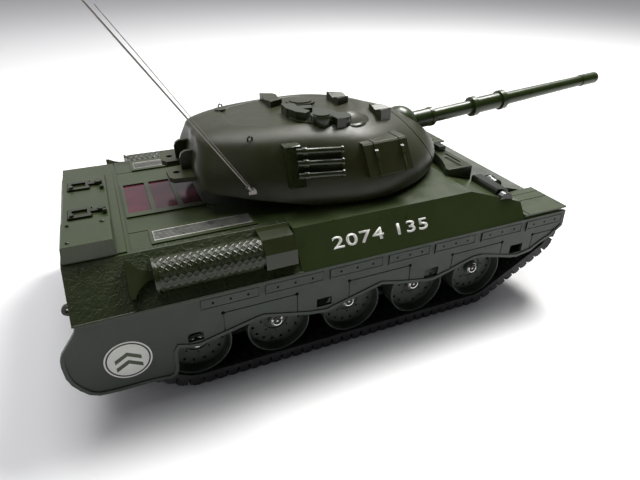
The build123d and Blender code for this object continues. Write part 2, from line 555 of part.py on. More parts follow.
# drive train: motor, pinion, drive gear on the shaft of each sprocket
CD = (GEAR_N + PINION_N) * MODULE / 2            # centre distance
ang = math.radians(8.0)
PX, PZ = SPROCKET[0] + CD * math.cos(ang), SPROCKET[1] + CD * math.sin(ang)
for sg, sd in ((-1, "right"), (1, "left")):
    ya, yb = sorted((sg * 38.0, sg * 43.0))
    g = spur(GEAR_N, MODULE, ya, yb, SPROCKET[0], SPROCKET[1], rot=ang)
    # web clearances keep the big gear inside the tub behind the rear plate
    g += ycyl(SPROCKET[0], SPROCKET[1], 4.5, sg * 43.0, sg * 46.0)
    g += ycyl(SPROCKET[0], SPROCKET[1], 2.0, sg * 34.0, sg * 77.5)
    save(g, f"drive_gear_{sd}")
    ya, yb = sorted((sg * 37.5, sg * 43.5))
    p = spur(PINION_N, MODULE, ya, yb, PX, PZ, rot=ang + math.pi + math.pi / PINION_N)
    p -= ycyl(PX, PZ, 1.0, sg * 30, sg * 50)
    p += ycyl(PX, PZ, 1.0, sg * 33.9, sg * 43.5)
    save(p, f"pinion_{sd}")
    my0, my1 = 3.0, 32.4
    m = ycyl(PX, PZ, 10.0, sg * my0, sg * my1)
    m = m & box(PX - 20, PX + 20, sg * my0, sg * my1, PZ - 7.6, PZ + 7.6)
    m += ycyl(PX, PZ, 3.0, sg * my1, sg * (my1 + 1.6))
    m -= ycyl(PX, PZ, 1.06, sg * (my1 - 6), sg * (my1 + 4))
    save(m, f"drive_motor_{sd}")
# gearbox frame: two cheeks joined by a floor, carrying motors and shaft ends
fx0, fx1 = 7.2, 40.0
gb = box(fx0, fx1, -36.6, 36.6, PZ - 11.2, PZ - 7.6)
for sg in (-1, 1):
    gb += box(fx0, fx1, sg * 34.0, sg * 36.6, PZ - 9.0, PZ + 11.5) - ycyl(PX, PZ, 3.3, sg * 30, sg * 40) - ycyl(SPROCKET[0], SPROCKET[1], 2.06, sg * 30, sg * 40)
gb += box(18.0, 36.0, -30, 30, TUB_Z0 + 2.2, PZ - 11.2) - box(20, 34, -28, 28, 10, PZ - 11.2)
save(gb, "gearbox_frame")

# power pack: five penlight cells, cover below, contacts
cells = []
for k in range(5):
    xc = 104.0 + k * 16.0
    b = ycyl(xc, 23.9, 7.1, -24.5, 24.0) + ycyl(xc, 23.9, 2.6, 24.0, 25.5)
    cells.append(b)
save(comp(cells), "battery_cells")
cont = []
for k in range(5):
    xc = 104.0 + k * 16.0
    cont.append(box(xc - 5, xc + 5, 25.5, 26.1, 17.2, 31.0))
    spr = Pos(X(xc), -25.4, 23.9) * Rot(90, 0, 0) * (Cylinder(3.2, 1.8) - Cylinder(2.5, 3))
    cont.append(spr + box(xc - 5, xc + 5, -26.9, -26.3, 17.2, 31.0))
save(comp(cont), "battery_contacts")

bc = box(BAY[0] + 0.4, BAY[1] - 0.4, BAY[2] + 0.4, BAY[3] - 0.4, TUB_Z0, TUB_Z0 + 1.8)
for k in range(4):
    bc += box(166 + k * 2.2, 167 + k * 2.2, -10, 10, TUB_Z0 - 0.6, TUB_Z0)
save(bc, "battery_cover")

# receiver board with crystal can and chips, on two posts
pcb = box(186.0, 250.0, -38.0, -2.0, 40.0, 41.6)
pcb += box(192, 198, -30, -20, 41.6, 47) + box(204, 222, -24, -16, 41.6, 44.2) + Pos(X(236), -26, 45.5) * Cylinder(4, 7.8)
pcb += box(226, 232, -12, -6, 41.6, 48) + box(242, 247, -36, -12, 41.6, 43.0)
save(comp([pcb]), "receiver_board")

# power switch: body inside the belly, sliding knob through the slot
swb = box(SW[0], SW[1], -4.5, 4.5, 17.4, 24.0) + box(SW[0] - 4, SW[1] + 4, -4.5, 4.5, 15.2, 17.4) - box(SW[0] + 2.4, SW[1] - 2.4, -2.8, 2.8, 10, 18.6)
save(swb, "switch_body")
swk = box(SW[0] + 3.4, SW[0] + 8.2, -2.1, 2.1, 12.0, 18.4) + box(SW[0] + 4.6, SW[0] + 5.4, -2.1, 2.1, 11.5, 12.0)
save(swk, "power_switch")

# ================================================================== TURRET
# half outlines of the turret, tail to nose: foot (station, half width) and roof edge (station, half width)
OUTLINE = [(71.5, 0.0, 77.5, 0.0), (71.5, 17.0, 77.6, 9.0), (71.8, 31.5, 78.2, 16.0), (74.5, 36.6, 81.0, 20.6),
           (84.0, 42.0, 90.0, 27.6), (97.0, 47.0, 103.0, 33.6), (116.0, 51.8, 118.0, 37.4), (139.0, 56.0, 134.0, 39.8),
           (156.0, 58.8, 148.0, 40.6), (169.0, 59.5, 159.0, 40.2), (181.5, 58.0, 168.5, 37.6), (194.0, 54.0, 177.5, 32.8),
           (206.0, 48.2, 185.0, 26.8), (217.0, 40.8, 191.0, 20.2), (227.0, 31.2, 195.2, 13.4), (235.0, 20.4, 198.0, 6.8),
           (239.6, 9.6, 198.9, 3.2), (241.0, 0.0, 199.2, 0.0)]
# heights: (z, blend from foot outline to roof edge outline, pull of the outline towards the middle of the roof)
SEC = [(RIM_Z, 0.0, 1.0), (92.0, -0.035, 1.0), (100.0, 0.06, 1.0), (110.0, 0.34, 1.0), (117.0, 0.66, 1.0),
       (121.2, 0.98, 1.0), (123.3, 1.0, 0.90), (124.5, 1.0, 0.70)]
CX = 165.0


def plan(blend, pull, z, shrink=0.0):
    half = [(a + (c - a) * blend, b + (d - b) * blend) for a, b, c, d in OUTLINE]
    half = [(140.0 + (x - 140.0) * pull, y * pull) for x, y in half]
    pts = half + [(x, -y) for x, y in half[-2:0:-1]]
    n = len(pts)
    out = []
    for i, (x, y) in enumerate(pts):
        (xa, ya), (xb, yb) = pts[i - 1], pts[(i + 1) % n]
        tx, ty = xb - xa, yb - ya
        q = math.hypot(tx, ty)
        out.append((X(x + shrink * ty / q), y - shrink * tx / q, z))
    return Face(Wire([Spline(*out, periodic=True)]))


def body(shrink, dz_top=0.0, z_floor=None):
    faces = []
    for i, (z, blend, pull) in enumerate(SEC):
        zz = z_floor if z_floor is not None and i == 0 else z
        drop = dz_top if i >= len(SEC) - 2 else (dz_top * 0.6 if i == len(SEC) - 3 else 0)
        faces.append(plan(blend, pull, zz - drop, shrink))
    return loft(faces)


shell_o = body(0.0)
shell_i = body(2.4, dz_top=2.4, z_floor=RIM_Z - 1.0)
# underside of the bustle rises towards the rear
BST_Z = 99.6                                      # height of that slope at station 60
under = xz_prism([(137.0, RIM_Z), (60.0, BST_Z), (40.0, BST_Z), (40.0, 60.0), (137.0, 60.0)], -90, 90)
shell = shell_o - shell_i - under
# gun port: clearance for the ball and the swinging collar
T = Pos(X(TRUN_X), 0, TRUN_Z)
port = T * Sphere(13.0)
for el in range(-2, 18, 3):
    port += T * Rot(0, -el, 0) * Pos(22, 0, 0) * Rot(0, 90, 0) * Cylinder(7.2, 40)
shell -= port
# joint line round the nose plate
nose = xz_prism([(229.6, 84.0), (230.4, 84.0), (203.4, 122.4), (202.6, 122.4)], -70, 70)
shell -= nose - body(0.55, dz_top=0.55, z_floor=RIM_Z - 1.0)
# roof knob, lifting hooks, rear tabs, weld bead blocks of the roof
shell += zcyl(98.0, 16.0, 3.4, 121.0, 125.6)
for sg in (-1, 1):
    hk = Pos(X(101.5), sg * 40.0, 123.2) * Rot(90 , 0, 0) * Rot(0, 90, 0) * (Cylinder(3.4, 1.8) - Cylinder(1.8, 3))
    shell += hk - shell_i
    fin = xz_prism([(76.0, 100.4), (66.6, 100.4), (66.3, 107.6), (67.4, 110.2), (69.6, 111.4), (78.0, 111.4)], sg * 8.8, sg * 11.2)
    shell += fin - shell_i - under
shell = Compound([max(shell.solids(), key=lambda q: q.volume)])
save(shell, "turret_shell")

# floor of the turret: rim plate, sloped bustle plate, ring that drops through the deck
slab = xz_prism([(260, RIM_Z), (260, RIM_Z - 1.2), (137.0 - 0.3, RIM_Z - 1.2), (60.0, BST_Z - 1.3), (60.0, BST_Z), (137.0, RIM_Z)], -90, 90)
column = extrude(plan(0.0, 1.0, 70.0, 0.8), amount=60, dir=(0, 0, 1))
floor = slab & column & body(0.8, z_floor=RIM_Z - 3.0)
floor -= zcyl(TURRET_X, 0, 41.0, 70, 90) & xz_prism([(100, 60), (100, 100), (300, 100), (300, 60)], -60, 60)
floor += zcyl(TURRET_X, 0, 46.5, 76.5, RIM_Z - 1.2 + 0.6) - zcyl(TURRET_X, 0, 43.0, 70, 90)
floor += zcyl(TURRET_X, 0, 51.0, DECK_Z + 0.1, RIM_Z - 1.1) - zcyl(TURRET_X, 0, 45.0, 70, 90)
# cheeks that carry the gun trunnions
for sg in (-1, 1):
    ck = box(213.0, 224.0, sg * 12.6, sg * 15.2, RIM_Z - 1.2, 109.0) & body(3.0, dz_top=3.0, z_floor=RIM_Z - 2.0)
    ck -= ycyl(TRUN_X, TRUN_Z, 2.06, sg * 10, sg * 18)
    floor += ck
floor -= T * Sphere(12.9)
for sg in (-1, 1):
    ear = xy_prism([(57.8, sg * 8.5), (60.4, sg * 4.6), (76.0, sg * 4.6), (76.0, sg * 24.5), (60.0, sg * 22.5), (58.2, sg * 19.5)], 97.6, 100.4)
    ear -= zcyl(63.0, sg * 13.5, 1.9, 90, 110)
    ear -= shell_o - under
    floor += ear
save(floor, "turret_floor")
ret = zcyl(TURRET_X, 0, 50.5, 75.0, 76.5) - zcyl(TURRET_X, 0, 42.0, 70, 90)
ret += zcyl(TURRET_X, 0, 50.5, 76.5, 79.7) - zcyl(TURRET_X, 0, 48.4, 70, 90)
save(ret, "turret_retainer")

# smoke launchers: back plate and three tubes on each flank
for sg, sd in ((-1, "right"), (1, "left")):
    m = yz_prism([(-40, 118.9), (-45.9, 118.9), (-46.8, 118.3), (-56.2, 98.4), (-55.6, 97.4), (-50, 97.0)], 117.6, 127.0)
    m -= yz_prism([(-49.0, 116.2), (-55.7, 101.6), (-54.9, 101.2), (-48.2, 115.8)], 119.6, 125.0)
    for k, (a0, a1) in enumerate((((127.0, -48.4, 115.6), (150.8, -51.8, 114.6)), ((126.6, -51.4, 109.8), (150.2, -54.4, 108.6)), ((126.0, -54.2, 103.6), (149.6, -57.0, 102.6)))):
        p0 = Vector(X(a0[0]), a0[1], a0[2])
        p1 = Vector(X(a1[0]), a1[1], a1[2])
        d = p1 - p0
        u = d.normalized()

        def rod(at, length, r):
            return extrude(Plane(origin=p0 + u * at, z_dir=u) * Circle(r), amount=length)
        m += rod(-3.0, d.length + 3.0, 1.9) + rod(0.2, 2.8, 2.5) + rod(d.length - 1.6, 1.6, 2.4)
        m -= rod(d.length - 3.0, 4.0, 1.4)
    m -= shell_o
    m = Compound([max(m.solids(), key=lambda q: q.volume)])
    if sg > 0:
        m = mirror_y(m)
    save(m, f"smoke_launcher_{sd}")

# stowage boxes with two straps and buckles on each flank
for sg, sd in ((-1, "right"), (1, "left")):
    b = yz_prism([(-30, 116.2), (-51.4, 115.9), (-52.6, 115.0), (-62.0, 99.4), (-61.4, 98.3), (-50, 97.8)], 163.4, 194.0)
    for x0 in (170.2, 188.4):
        b += yz_prism([(-30, 116.5), (-51.6, 116.3), (-53.0, 115.2), (-62.5, 99.3), (-61.8, 98.0), (-50, 97.5)], x0, x0 + 1.5)
        b += yz_prism([(-54.6, 112.6), (-56.0, 112.0), (-58.0, 108.6), (-56.0, 108.2)], x0 - 0.5, x0 + 2.0)
    b = Pos(X(165.0), -55.0, 0) * Rot(0, 0, 5.7) * Pos(-X(165.0), 55.0, 0) * b
    b -= shell_o
    b = Compound([max(b.solids(), key=lambda q: q.volume)])
    if sg > 0:
        b = mirror_y(b)
    save(b, f"stowage_box_{sd}")

# commander's cupola: block, drum and streamlined front, with hatch disc
cup = zcyl(147.0, -18.5, 15.0, 116, 125.6)
cup += xy_prism([(131.6, -3.0), (131.2, -13.0), (134.0, -22.0), (138.4, -27.0), (142.6, -23.4), (139.4, -17.0), (139.0, -5.0)], 114, 130.0)
for (a0, a1) in ((-6.6, 1.2), (-10.8, 0.6), (-15.0, 0.2), (-19.2, 1.2)):
    cup -= box(129.0, 131.9 + a1, a0 - 0.45, a0 + 0.45, 126.2, 129.2)
cup += xy_prism([(138.0, -12.0), (139.6, -5.0), (150.0, -6.6), (148.6, -12.4)], 118, 128.2)
cup += zcyl(146.9, -30.4, 6.5, 112, 129.3)
cup += zcyl(146.9, -30.4, 5.0, 129.3, 130.0)
lobe = zcyl(158.6, -32.4, 5.8, 112, 128.0) + box(153.4, 159.0, -38.2, -27.0, 112, 128.0)
lobe += Pos(X(165.0), -26.0, 119.6) * (Cylinder(12.6, 6.6) & Pos(0, 0, -13.6) * Sphere(20.2))
cup += lobe
for (gx, gy) in ((137.4, -29.4), (141.4, -36.6), (151.4, -38.4)):
    cup += zcyl(gx, gy, 1.7, 112, 122.6)          # vision block housings round the foot
cup -= shell_o
cup = Compound([max(cup.solids(), key=lambda q: q.volume)])
save(cup, "commander_cupola")
# roof sights: gunner's periscope box, loader's periscope box, rear vision block with cover strips
op = []
for (x0, x1, y0, y1, zt) in ((170.5, 180.5, -2.5, 16.0, 129.0), (187.0, 197.2, -29.7, -13.5, 126.6), (128.8, 138.4, 8.5, 32.0, 128.4)):
    yc = (y0 + y1) / 2
    q = xy_prism([(x0, y0), (x0, y1), (x1 - 1.0, y1 - 4.2), (x1, y1 - 5.6), (x1, y0 + 5.6), (x1 - 1.0, y0 + 4.2)], 114, zt)
    q -= yz_prism([(y0 + 3.0, zt + 0.1), (yc, zt - 1.7), (y1 - 3.0, zt + 0.1)], x0 - 1, x1 + 1)
    q -= shell_o
    op.append(Compound([max(q.solids(), key=lambda w: w.volume)]))
hat = zcyl(150.5, 13.0, 9.5, 118, 125.9) + zcyl(150.5, 13.0, 7.4, 125.9, 126.6) - shell_o
op.append(Compound([max(hat.solids(), key=lambda w: w.volume)]))
save(comp(op), "roof_sights")

# antenna: spring steel whip, two strands from one ferrule on the right rim, leaning aft
AB = (96.6, -50.5, 98.3)
ant_tip = (8.0, -52.0, 232.0)


def strand(dx, dy):
    p0 = Vector(X(AB[0]), AB[1], AB[2])
    p1 = Vector(X(ant_tip[0] + dx), ant_tip[1] + dy, ant_tip[2])
    d = (p1 - p0)
    pl = Plane(origin=p0, z_dir=d.normalized())
    return extrude(pl * Circle(0.45), amount=d.length)


fer_d = Vector(X(ant_tip[0]) - X(AB[0]), ant_tip[1] - AB[1], ant_tip[2] - AB[2]).normalized()
p0 = Vector(X(AB[0]), AB[1], AB[2])
fer = extrude(Plane(origin=p0 - fer_d * 1.5, z_dir=fer_d) * Circle(1.3), amount=5.0)
foot = Pos(X(AB[0]) + 0.4, AB[1] + 3.0, AB[2] - 0.6) * Box(4.4, 9.0, 2.0)
ant = strand(0, 0) + fer + foot
ant -= shell_o
ant = ant - floor
ant = Compound([max(ant.solids(), key=lambda w: w.volume)])
save(ant, "antenna")

# ================================================================== GUN
def gun_rev(pts):
    """(distance along the bore from the trunnion, radius) outline spun about the bore"""
    w = Polyline([(d, 0, r) for d, r in pts], close=True)
    f = Face(Wire(w.edges()))
    s_ = revolve(f, Axis.X, 360)
    return T * Rot(0, -GUN_TILT, 0) * s_


ball = Sphere(12.5) & Box(30, 22.4, 30)
ball -= Pos(-14, 0, 0) * Box(12, 40, 40)
ball += Rot(90, 0, 0) * Cylinder(2.0, 30.2)
ball += Pos(16.5, 0, 0) * Rot(0, 90, 0) * Cylinder(6.3, 21)
ball += Pos(25.6, 0, 0) * Rot(0, 90, 0) * Cylinder(6.7, 2.4)
ball -= Pos(24.0, 0, 0) * Rot(0, 90, 0) * Cylinder(4.2, 24)
save(T * Rot(0, -GUN_TILT, 0) * ball, "gun_mantlet")
barrel = gun_rev([(12.0, 1.8), (12.0, 4.2), (27.0, 4.2), (27.2, 4.75), (63.0, 4.75), (63.0, 4.7), (91.0, 4.7), (166.0, 3.85), (166.0, 4.35), (180.5, 4.35), (181.6, 3.9), (181.6, 1.8)])
notch = T * Rot(0, -GUN_TILT, 0) * Pos(168.5, 0, 4.6) * Box(1.4, 12, 1.6)
save(barrel - notch, "gun_barrel")
sleeve = gun_rev([(60.5, 4.75), (60.5, 7.1), (64.2, 7.1), (64.2, 5.8), (85.5, 5.8), (85.5, 7.1), (89.6, 7.1), (89.6, 4.75)])
save(sleeve, "fume_extractor")
print("done")
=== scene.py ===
import bpy, bmesh, math
from mathutils import Vector, Matrix, noise


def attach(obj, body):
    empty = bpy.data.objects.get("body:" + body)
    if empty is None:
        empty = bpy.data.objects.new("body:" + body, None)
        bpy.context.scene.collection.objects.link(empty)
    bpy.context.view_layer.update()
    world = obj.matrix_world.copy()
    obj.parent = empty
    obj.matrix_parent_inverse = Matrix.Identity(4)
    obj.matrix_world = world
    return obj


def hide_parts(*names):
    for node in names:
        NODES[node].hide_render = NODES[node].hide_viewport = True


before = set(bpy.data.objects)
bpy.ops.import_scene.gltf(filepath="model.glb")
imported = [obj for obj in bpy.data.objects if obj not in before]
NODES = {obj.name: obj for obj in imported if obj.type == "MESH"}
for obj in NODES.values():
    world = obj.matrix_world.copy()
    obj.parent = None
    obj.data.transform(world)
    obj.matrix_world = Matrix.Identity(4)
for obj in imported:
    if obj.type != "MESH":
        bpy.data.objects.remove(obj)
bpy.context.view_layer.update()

# ------------------------------------------------------------------ frame helpers
# Hull stations (mm forward from the rear corner) to metres in the row frame.
ORIGIN_X = 194.41
HALF_W, SILL_Z, DECK_Z = 85.0, 61.7, 82.1
WHEEL_X = [53.3, 99.5, 145.7, 191.9, 238.1]
WHEEL_Z, WHEEL_R, HUB_Y = 26.2, 18.6, 74.4
TRUN = (219.0, 105.6)
SIDES = ((-1, "right"), (1, "left"))


def P(x, y, z):
    return Vector(((x - ORIGIN_X) / 1000.0, y / 1000.0, z / 1000.0))


# ------------------------------------------------------------------ camera, at the viewing angle of the reference
def make_camera():
    psi, theta, rho = 1.161892, math.radians(30.813), -0.0036174
    f = Vector((math.cos(psi) * math.cos(theta), math.sin(psi) * math.cos(theta), -math.sin(theta)))
    r = Vector((math.sin(psi), -math.cos(psi), 0))
    d = f.cross(r)
    right = r * math.cos(rho) + d * math.sin(rho)
    down = r * -math.sin(rho) + d * math.cos(rho)
    cd = bpy.data.cameras.new("camera")
    cd.sensor_width = 36.0
    cd.lens = 500.66 / 640.0 * 36.0
    cd.clip_start, cd.clip_end = 0.01, 20
    cam = bpy.data.objects.new("camera", cd)
    bpy.context.scene.collection.objects.link(cam)
    m = Matrix.Identity(4)
    for i in range(3):
        m[i][0], m[i][1], m[i][2] = right[i], -down[i], -f[i]
    m[0][3], m[1][3], m[2][3] = -0.161847, -0.292564, 0.215069
    cam.matrix_world = m
    bpy.context.scene.camera = cam


make_camera()


# ------------------------------------------------------------------ materials
class Mat:
    """Small helper that builds a node material around one Principled shader."""

    def __init__(self, name):
        self.m = bpy.data.materials.new(name)
        self.m.use_nodes = True
        self.nt = self.m.node_tree
        for n in list(self.nt.nodes):
            self.nt.nodes.remove(n)
        self.out = self.nt.nodes.new("ShaderNodeOutputMaterial")
        self.sh = self.nt.nodes.new("ShaderNodeBsdfPrincipled")
        self.nt.links.new(self.sh.outputs[0], self.out.inputs[0])
        tc = self.nt.nodes.new("ShaderNodeTexCoord")
        self.co = tc.outputs["Object"]

    def new(self, kind, **kw):
        n = self.nt.nodes.new(kind)
        for k, v in kw.items():
            setattr(n, k, v)
        return n

    def link(self, a, b):
        self.nt.links.new(a, b)

    def noise(self, scale, detail=4.0, rough=0.55, co=None, dist=0.0):
        n = self.new("ShaderNodeTexNoise")
        n.inputs["Scale"].default_value = scale
        n.inputs["Detail"].default_value = detail
        n.inputs["Roughness"].default_value = rough
        n.inputs["Distortion"].default_value = dist
        self.link(co or self.co, n.inputs["Vector"])
        return n.outputs["Fac"]

    def ramp(self, fac, stops):
        n = self.new("ShaderNodeValToRGB")
        e = n.color_ramp.elements
        e[0].position, e[0].color = stops[0][0], (*stops[0][1], 1)
        e[1].position, e[1].color = stops[-1][0], (*stops[-1][1], 1)
        for p, c in stops[1:-1]:
            x = e.new(p)
            x.color = (*c, 1)
        self.link(fac, n.inputs[0])
        return n.outputs[0]

    def maprange(self, v, a, b, c, d):
        n = self.new("ShaderNodeMapRange")
        n.inputs["From Min"].default_value, n.inputs["From Max"].default_value = a, b
        n.inputs["To Min"].default_value, n.inputs["To Max"].default_value = c, d
        self.link(v, n.inputs["Value"])
        return n.outputs[0]

    def math(self, op, a, b=None, clamp=False):
        n = self.new("ShaderNodeMath", operation=op, use_clamp=clamp)
        for i, v in enumerate((a, b)):
            if v is None:
                continue
            if isinstance(v, (int, float)):
                n.inputs[i].default_value = v
            else:
                self.link(v, n.inputs[i])
        return n.outputs[0]

    def mix(self, fac, a, b, blend="MIX"):
        n = self.new("ShaderNodeMix", data_type="RGBA", blend_type=blend)
        if isinstance(fac, (int, float)):
            n.inputs[0].default_value = fac
        else:
            self.link(fac, n.inputs[0])
        for i, v in ((6, a), (7, b)):
            if isinstance(v, tuple):
                n.inputs[i].default_value = (*v, 1)
            else:
                self.link(v, n.inputs[i])
        return n.outputs[2]

    def bump(self, h, strength, dist, normal=None):
        n = self.new("ShaderNodeBump")
        n.inputs["Strength"].default_value = strength
        n.inputs["Distance"].default_value = dist
        self.link(h, n.inputs["Height"])
        if normal is not None:
            self.link(normal, n.inputs["Normal"])
        return n.outputs[0]

    def edge(self):
        """0..1 mask from the mesh's pointiness, for edge wear and painted edge highlight"""
        g = self.new("ShaderNodeNewGeometry")
        return self.maprange(g.outputs["Pointiness"], 0.50, 0.60, 0.0, 1.0)


def moulded(name, dark, light, rough=(0.28, 0.42), grain=0.10, grain_scale=2600, spec=0.5, cast=0.0, cast_scale=900, dust=0.04, edge=0.25, edge_wear_and_highlight_col=None):
    """Moulded or painted plastic: mottled colour, fine grain, flow marks, lighter convex edges (part edge wear, part
    painted edge highlight) and a little dust.
    """
    m = Mat(name)
    big = m.noise(28, 3, 0.5)
    small = m.noise(420, 5, 0.6)
    tone = m.math("ADD", m.math("MULTIPLY", big, 0.65), m.math("MULTIPLY", small, 0.35))
    col = m.ramp(tone, [(0.36, dark), (0.64, light)])
    specks = m.noise(3200, 2, 0.5)
    dustf = m.maprange(specks, 0.68, 0.80, 0.0, dust)
    col = m.mix(dustf, col, (0.35, 0.36, 0.31))
    # convex edges are lightened: part edge wear, part painted edge highlight
    e = m.math("MULTIPLY", m.edge(), edge)
    col = m.mix(e, col, edge_wear_and_highlight_col or tuple(min(1.0, c * 1.9 + 0.012) for c in light))
    m.link(col, m.sh.inputs["Base Color"])
    m.link(m.maprange(m.noise(95, 5, 0.6), 0.3, 0.7, rough[0], rough[1]), m.sh.inputs["Roughness"])
    m.sh.inputs["Specular IOR Level"].default_value = spec
    h = m.noise(grain_scale, 3, 0.6)
    nrm = m.bump(h, grain, 0.0002)
    if cast > 0:
        h2 = m.noise(cast_scale, 4, 0.65)
        nrm = m.bump(h2, cast, 0.0006, nrm)
    flow = m.noise(16, 2, 0.5)
    nrm = m.bump(flow, 0.05, 0.004, nrm)
    m.link(nrm, m.sh.inputs["Normal"])
    return m.m


def metal(name, col, rough=(0.2, 0.35), brushed=True, aniso=0.0):
    m = Mat(name)
    mp = m.new("ShaderNodeMapping")
    mp.inputs["Scale"].default_value = (60, 1600, 1600) if brushed else (500, 500, 500)
    m.link(m.co, mp.inputs["Vector"])
    n = m.noise(1.0, 4, 0.6, co=mp.outputs[0])
    m.link(m.ramp(n, [(0.3, tuple(c * 0.8 for c in col)), (0.7, col)]), m.sh.inputs["Base Color"])
    m.sh.inputs["Metallic"].default_value = 1.0
    m.link(m.maprange(n, 0.3, 0.7, rough[0], rough[1]), m.sh.inputs["Roughness"])
    m.link(m.bump(n, 0.08, 0.0002), m.sh.inputs["Normal"])
    return m.m


MATS = {}
MATS["hull"] = moulded("hull_olive_gloss", (0.0235, 0.0345, 0.0095), (0.0305, 0.0445, 0.0130), rough=(0.26, 0.38), grain=0.10, spec=0.5)
MATS["hull_cast"] = moulded("hull_olive_cast", (0.0185, 0.0265, 0.0070), (0.0260, 0.0370, 0.0105), rough=(0.24, 0.36), grain=0.2, cast=0.35, cast_scale=1100, dust=0.10, edge=0.5)
MATS["turret"] = moulded("turret_olive_satin", (0.0190, 0.0215, 0.0050), (0.0255, 0.0285, 0.0072), rough=(0.34, 0.44), grain=0.22, grain_scale=2100, spec=0.42)
MATS["detail"] = moulded("detail_olive", (0.0195, 0.0270, 0.0075), (0.0265, 0.0360, 0.0105), rough=(0.27, 0.40), grain=0.10)
MATS["gun"] = moulded("gun_green_gloss", (0.0200, 0.0330, 0.0060), (0.0265, 0.0420, 0.0085), rough=(0.26, 0.36), grain=0.06)
MATS["skirt"] = moulded("skirt_grey_green", (0.0200, 0.0290, 0.0190), (0.0260, 0.0370, 0.0245), rough=(0.40, 0.52), grain=0.12, spec=0.45, dust=0.05)
MATS["chassis"] = moulded("chassis_dark", (0.010, 0.014, 0.010), (0.016, 0.021, 0.015), rough=(0.5, 0.65), grain=0.15)
MATS["wheel"] = moulded("wheel_grey_green", (0.034, 0.043, 0.034), (0.044, 0.055, 0.044), rough=(0.40, 0.55), grain=0.12, dust=0.06)
MATS["rubber"] = moulded("track_rubber", (0.014, 0.014, 0.016), (0.026, 0.026, 0.028), rough=(0.55, 0.75), grain=0.3, grain_scale=1500, dust=0.10, spec=0.35)
MATS["black"] = moulded("black_plastic", (0.006, 0.006, 0.006), (0.012, 0.012, 0.012), rough=(0.4, 0.55))
MATS["hole"] = moulded("hole_shadow", (0.002, 0.003, 0.002), (0.004, 0.005, 0.003), rough=(0.8, 0.9), grain=0.05, dust=0.0, edge=0.0, spec=0.1)
MATS["silver"] = metal("louvre_silver", (0.62, 0.62, 0.58), (0.28, 0.42))
MATS["chrome"] = metal("cup_bright", (0.82, 0.82, 0.80), (0.08, 0.18), brushed=False)
MATS["steel"] = metal("drawn_steel", (0.50, 0.50, 0.50), (0.25, 0.4))
MATS["spring"] = metal("whip_wire", (0.33, 0.31, 0.29), (0.3, 0.45))
MATS["acetal"] = moulded("acetal_white", (0.62, 0.60, 0.54), (0.72, 0.70, 0.64), rough=(0.35, 0.5), dust=0.0, edge=0.0)
MATS["cell"] = moulded("cell_jacket", (0.015, 0.016, 0.03), (0.03, 0.03, 0.05), rough=(0.2, 0.3))
MATS["board"] = moulded("resin_board", (0.012, 0.10, 0.04), (0.02, 0.15, 0.06), rough=(0.3, 0.45))
MATS["white"] = moulded("decal_white", (0.70, 0.71, 0.66), (0.80, 0.80, 0.76), rough=(0.35, 0.5), grain=0.04, dust=0.0, edge=0.0)
MATS["red"] = moulded("decal_red", (0.42, 0.03, 0.03), (0.52, 0.045, 0.04), rough=(0.35, 0.5), grain=0.04, dust=0.0, edge=0.0)
MATS["green"] = moulded("decal_green", (0.015, 0.13, 0.035), (0.02, 0.17, 0.05), rough=(0.35, 0.5), grain=0.04, dust=0.0, edge=0.0)


def maroon():
    m = Mat("window_maroon")
    n = m.noise(60, 3, 0.5)
    m.link(m.ramp(n, [(0.3, (0.040, 0.008, 0.014)), (0.7, (0.075, 0.014, 0.024))]), m.sh.inputs["Base Color"])
    m.link(m.maprange(m.noise(150, 4, 0.6), 0.3, 0.7, 0.10, 0.20), m.sh.inputs["Roughness"])
    m.sh.inputs["Coat Weight"].default_value = 0.12
    m.sh.inputs["Specular IOR Level"].default_value = 0.32
    m.sh.inputs["Coat Roughness"].default_value = 0.06
    m.link(m.bump(m.noise(30, 2, 0.5), 0.05, 0.002), m.sh.inputs["Normal"])
    return m.m


MATS["maroon"] = maroon()
MATS["gloss"] = moulded("detail_gloss", (0.0130, 0.0175, 0.0048), (0.0185, 0.0245, 0.0070), rough=(0.16, 0.27), grain=0.06, edge=0.4)
MATS["wrap"] = moulded("muffler_wrap_green", (0.0140, 0.0180, 0.0046), (0.0200, 0.0250, 0.0070), rough=(0.26, 0.38), grain=0.06, edge=0.3)
MATS["guard"] = moulded("guard_dark", (0.0060, 0.0080, 0.0035), (0.0095, 0.0125, 0.0055), rough=(0.16, 0.26), grain=0.06, edge=0.5)


def louvre():
    """bright leaning fins with painted shade in the gaps between them, following the fins of the grille"""
    m = Mat("louvre_gap_shaded")
    sep = m.new("ShaderNodeSeparateXYZ")
    m.link(m.new("ShaderNodeNewGeometry").outputs["Position"], sep.inputs[0])
    y = m.math("MULTIPLY", m.math("ABSOLUTE", sep.outputs["Y"]), 1000.0)
    t = m.math("DIVIDE", m.math("SUBTRACT", y, 46.95), 1.30)
    gap = m.math("MULTIPLY", m.math("ABSOLUTE", m.math("SUBTRACT", m.math("FRACT", t), 0.5)), 2.0)
    inside = m.math("MULTIPLY", m.math("GREATER_THAN", y, 47.0), m.math("LESS_THAN", y, 56.0))
    # the dark colour in the gaps is painted shade between the fins
    g = m.math("MULTIPLY", m.maprange(gap, 0.42, 0.62, 0.0, 1.0), inside)
    base = m.ramp(m.noise(300, 4, 0.6), [(0.3, (0.50, 0.50, 0.46)), (0.7, (0.66, 0.66, 0.61))])
    m.link(m.mix(g, base, (0.035, 0.038, 0.030)), m.sh.inputs["Base Color"])
    m.sh.inputs["Metallic"].default_value = 0.85
    m.link(m.maprange(m.noise(150, 4, 0.6), 0.3, 0.7, 0.26, 0.42), m.sh.inputs["Roughness"])
    m.link(m.bump(m.noise(900, 3, 0.6), 0.1, 0.0002), m.sh.inputs["Normal"])
    return m.m


MATS["louvre"] = louvre()


def put(obj, key):
    obj.data.materials.clear()
    obj.data.materials.append(MATS[key])


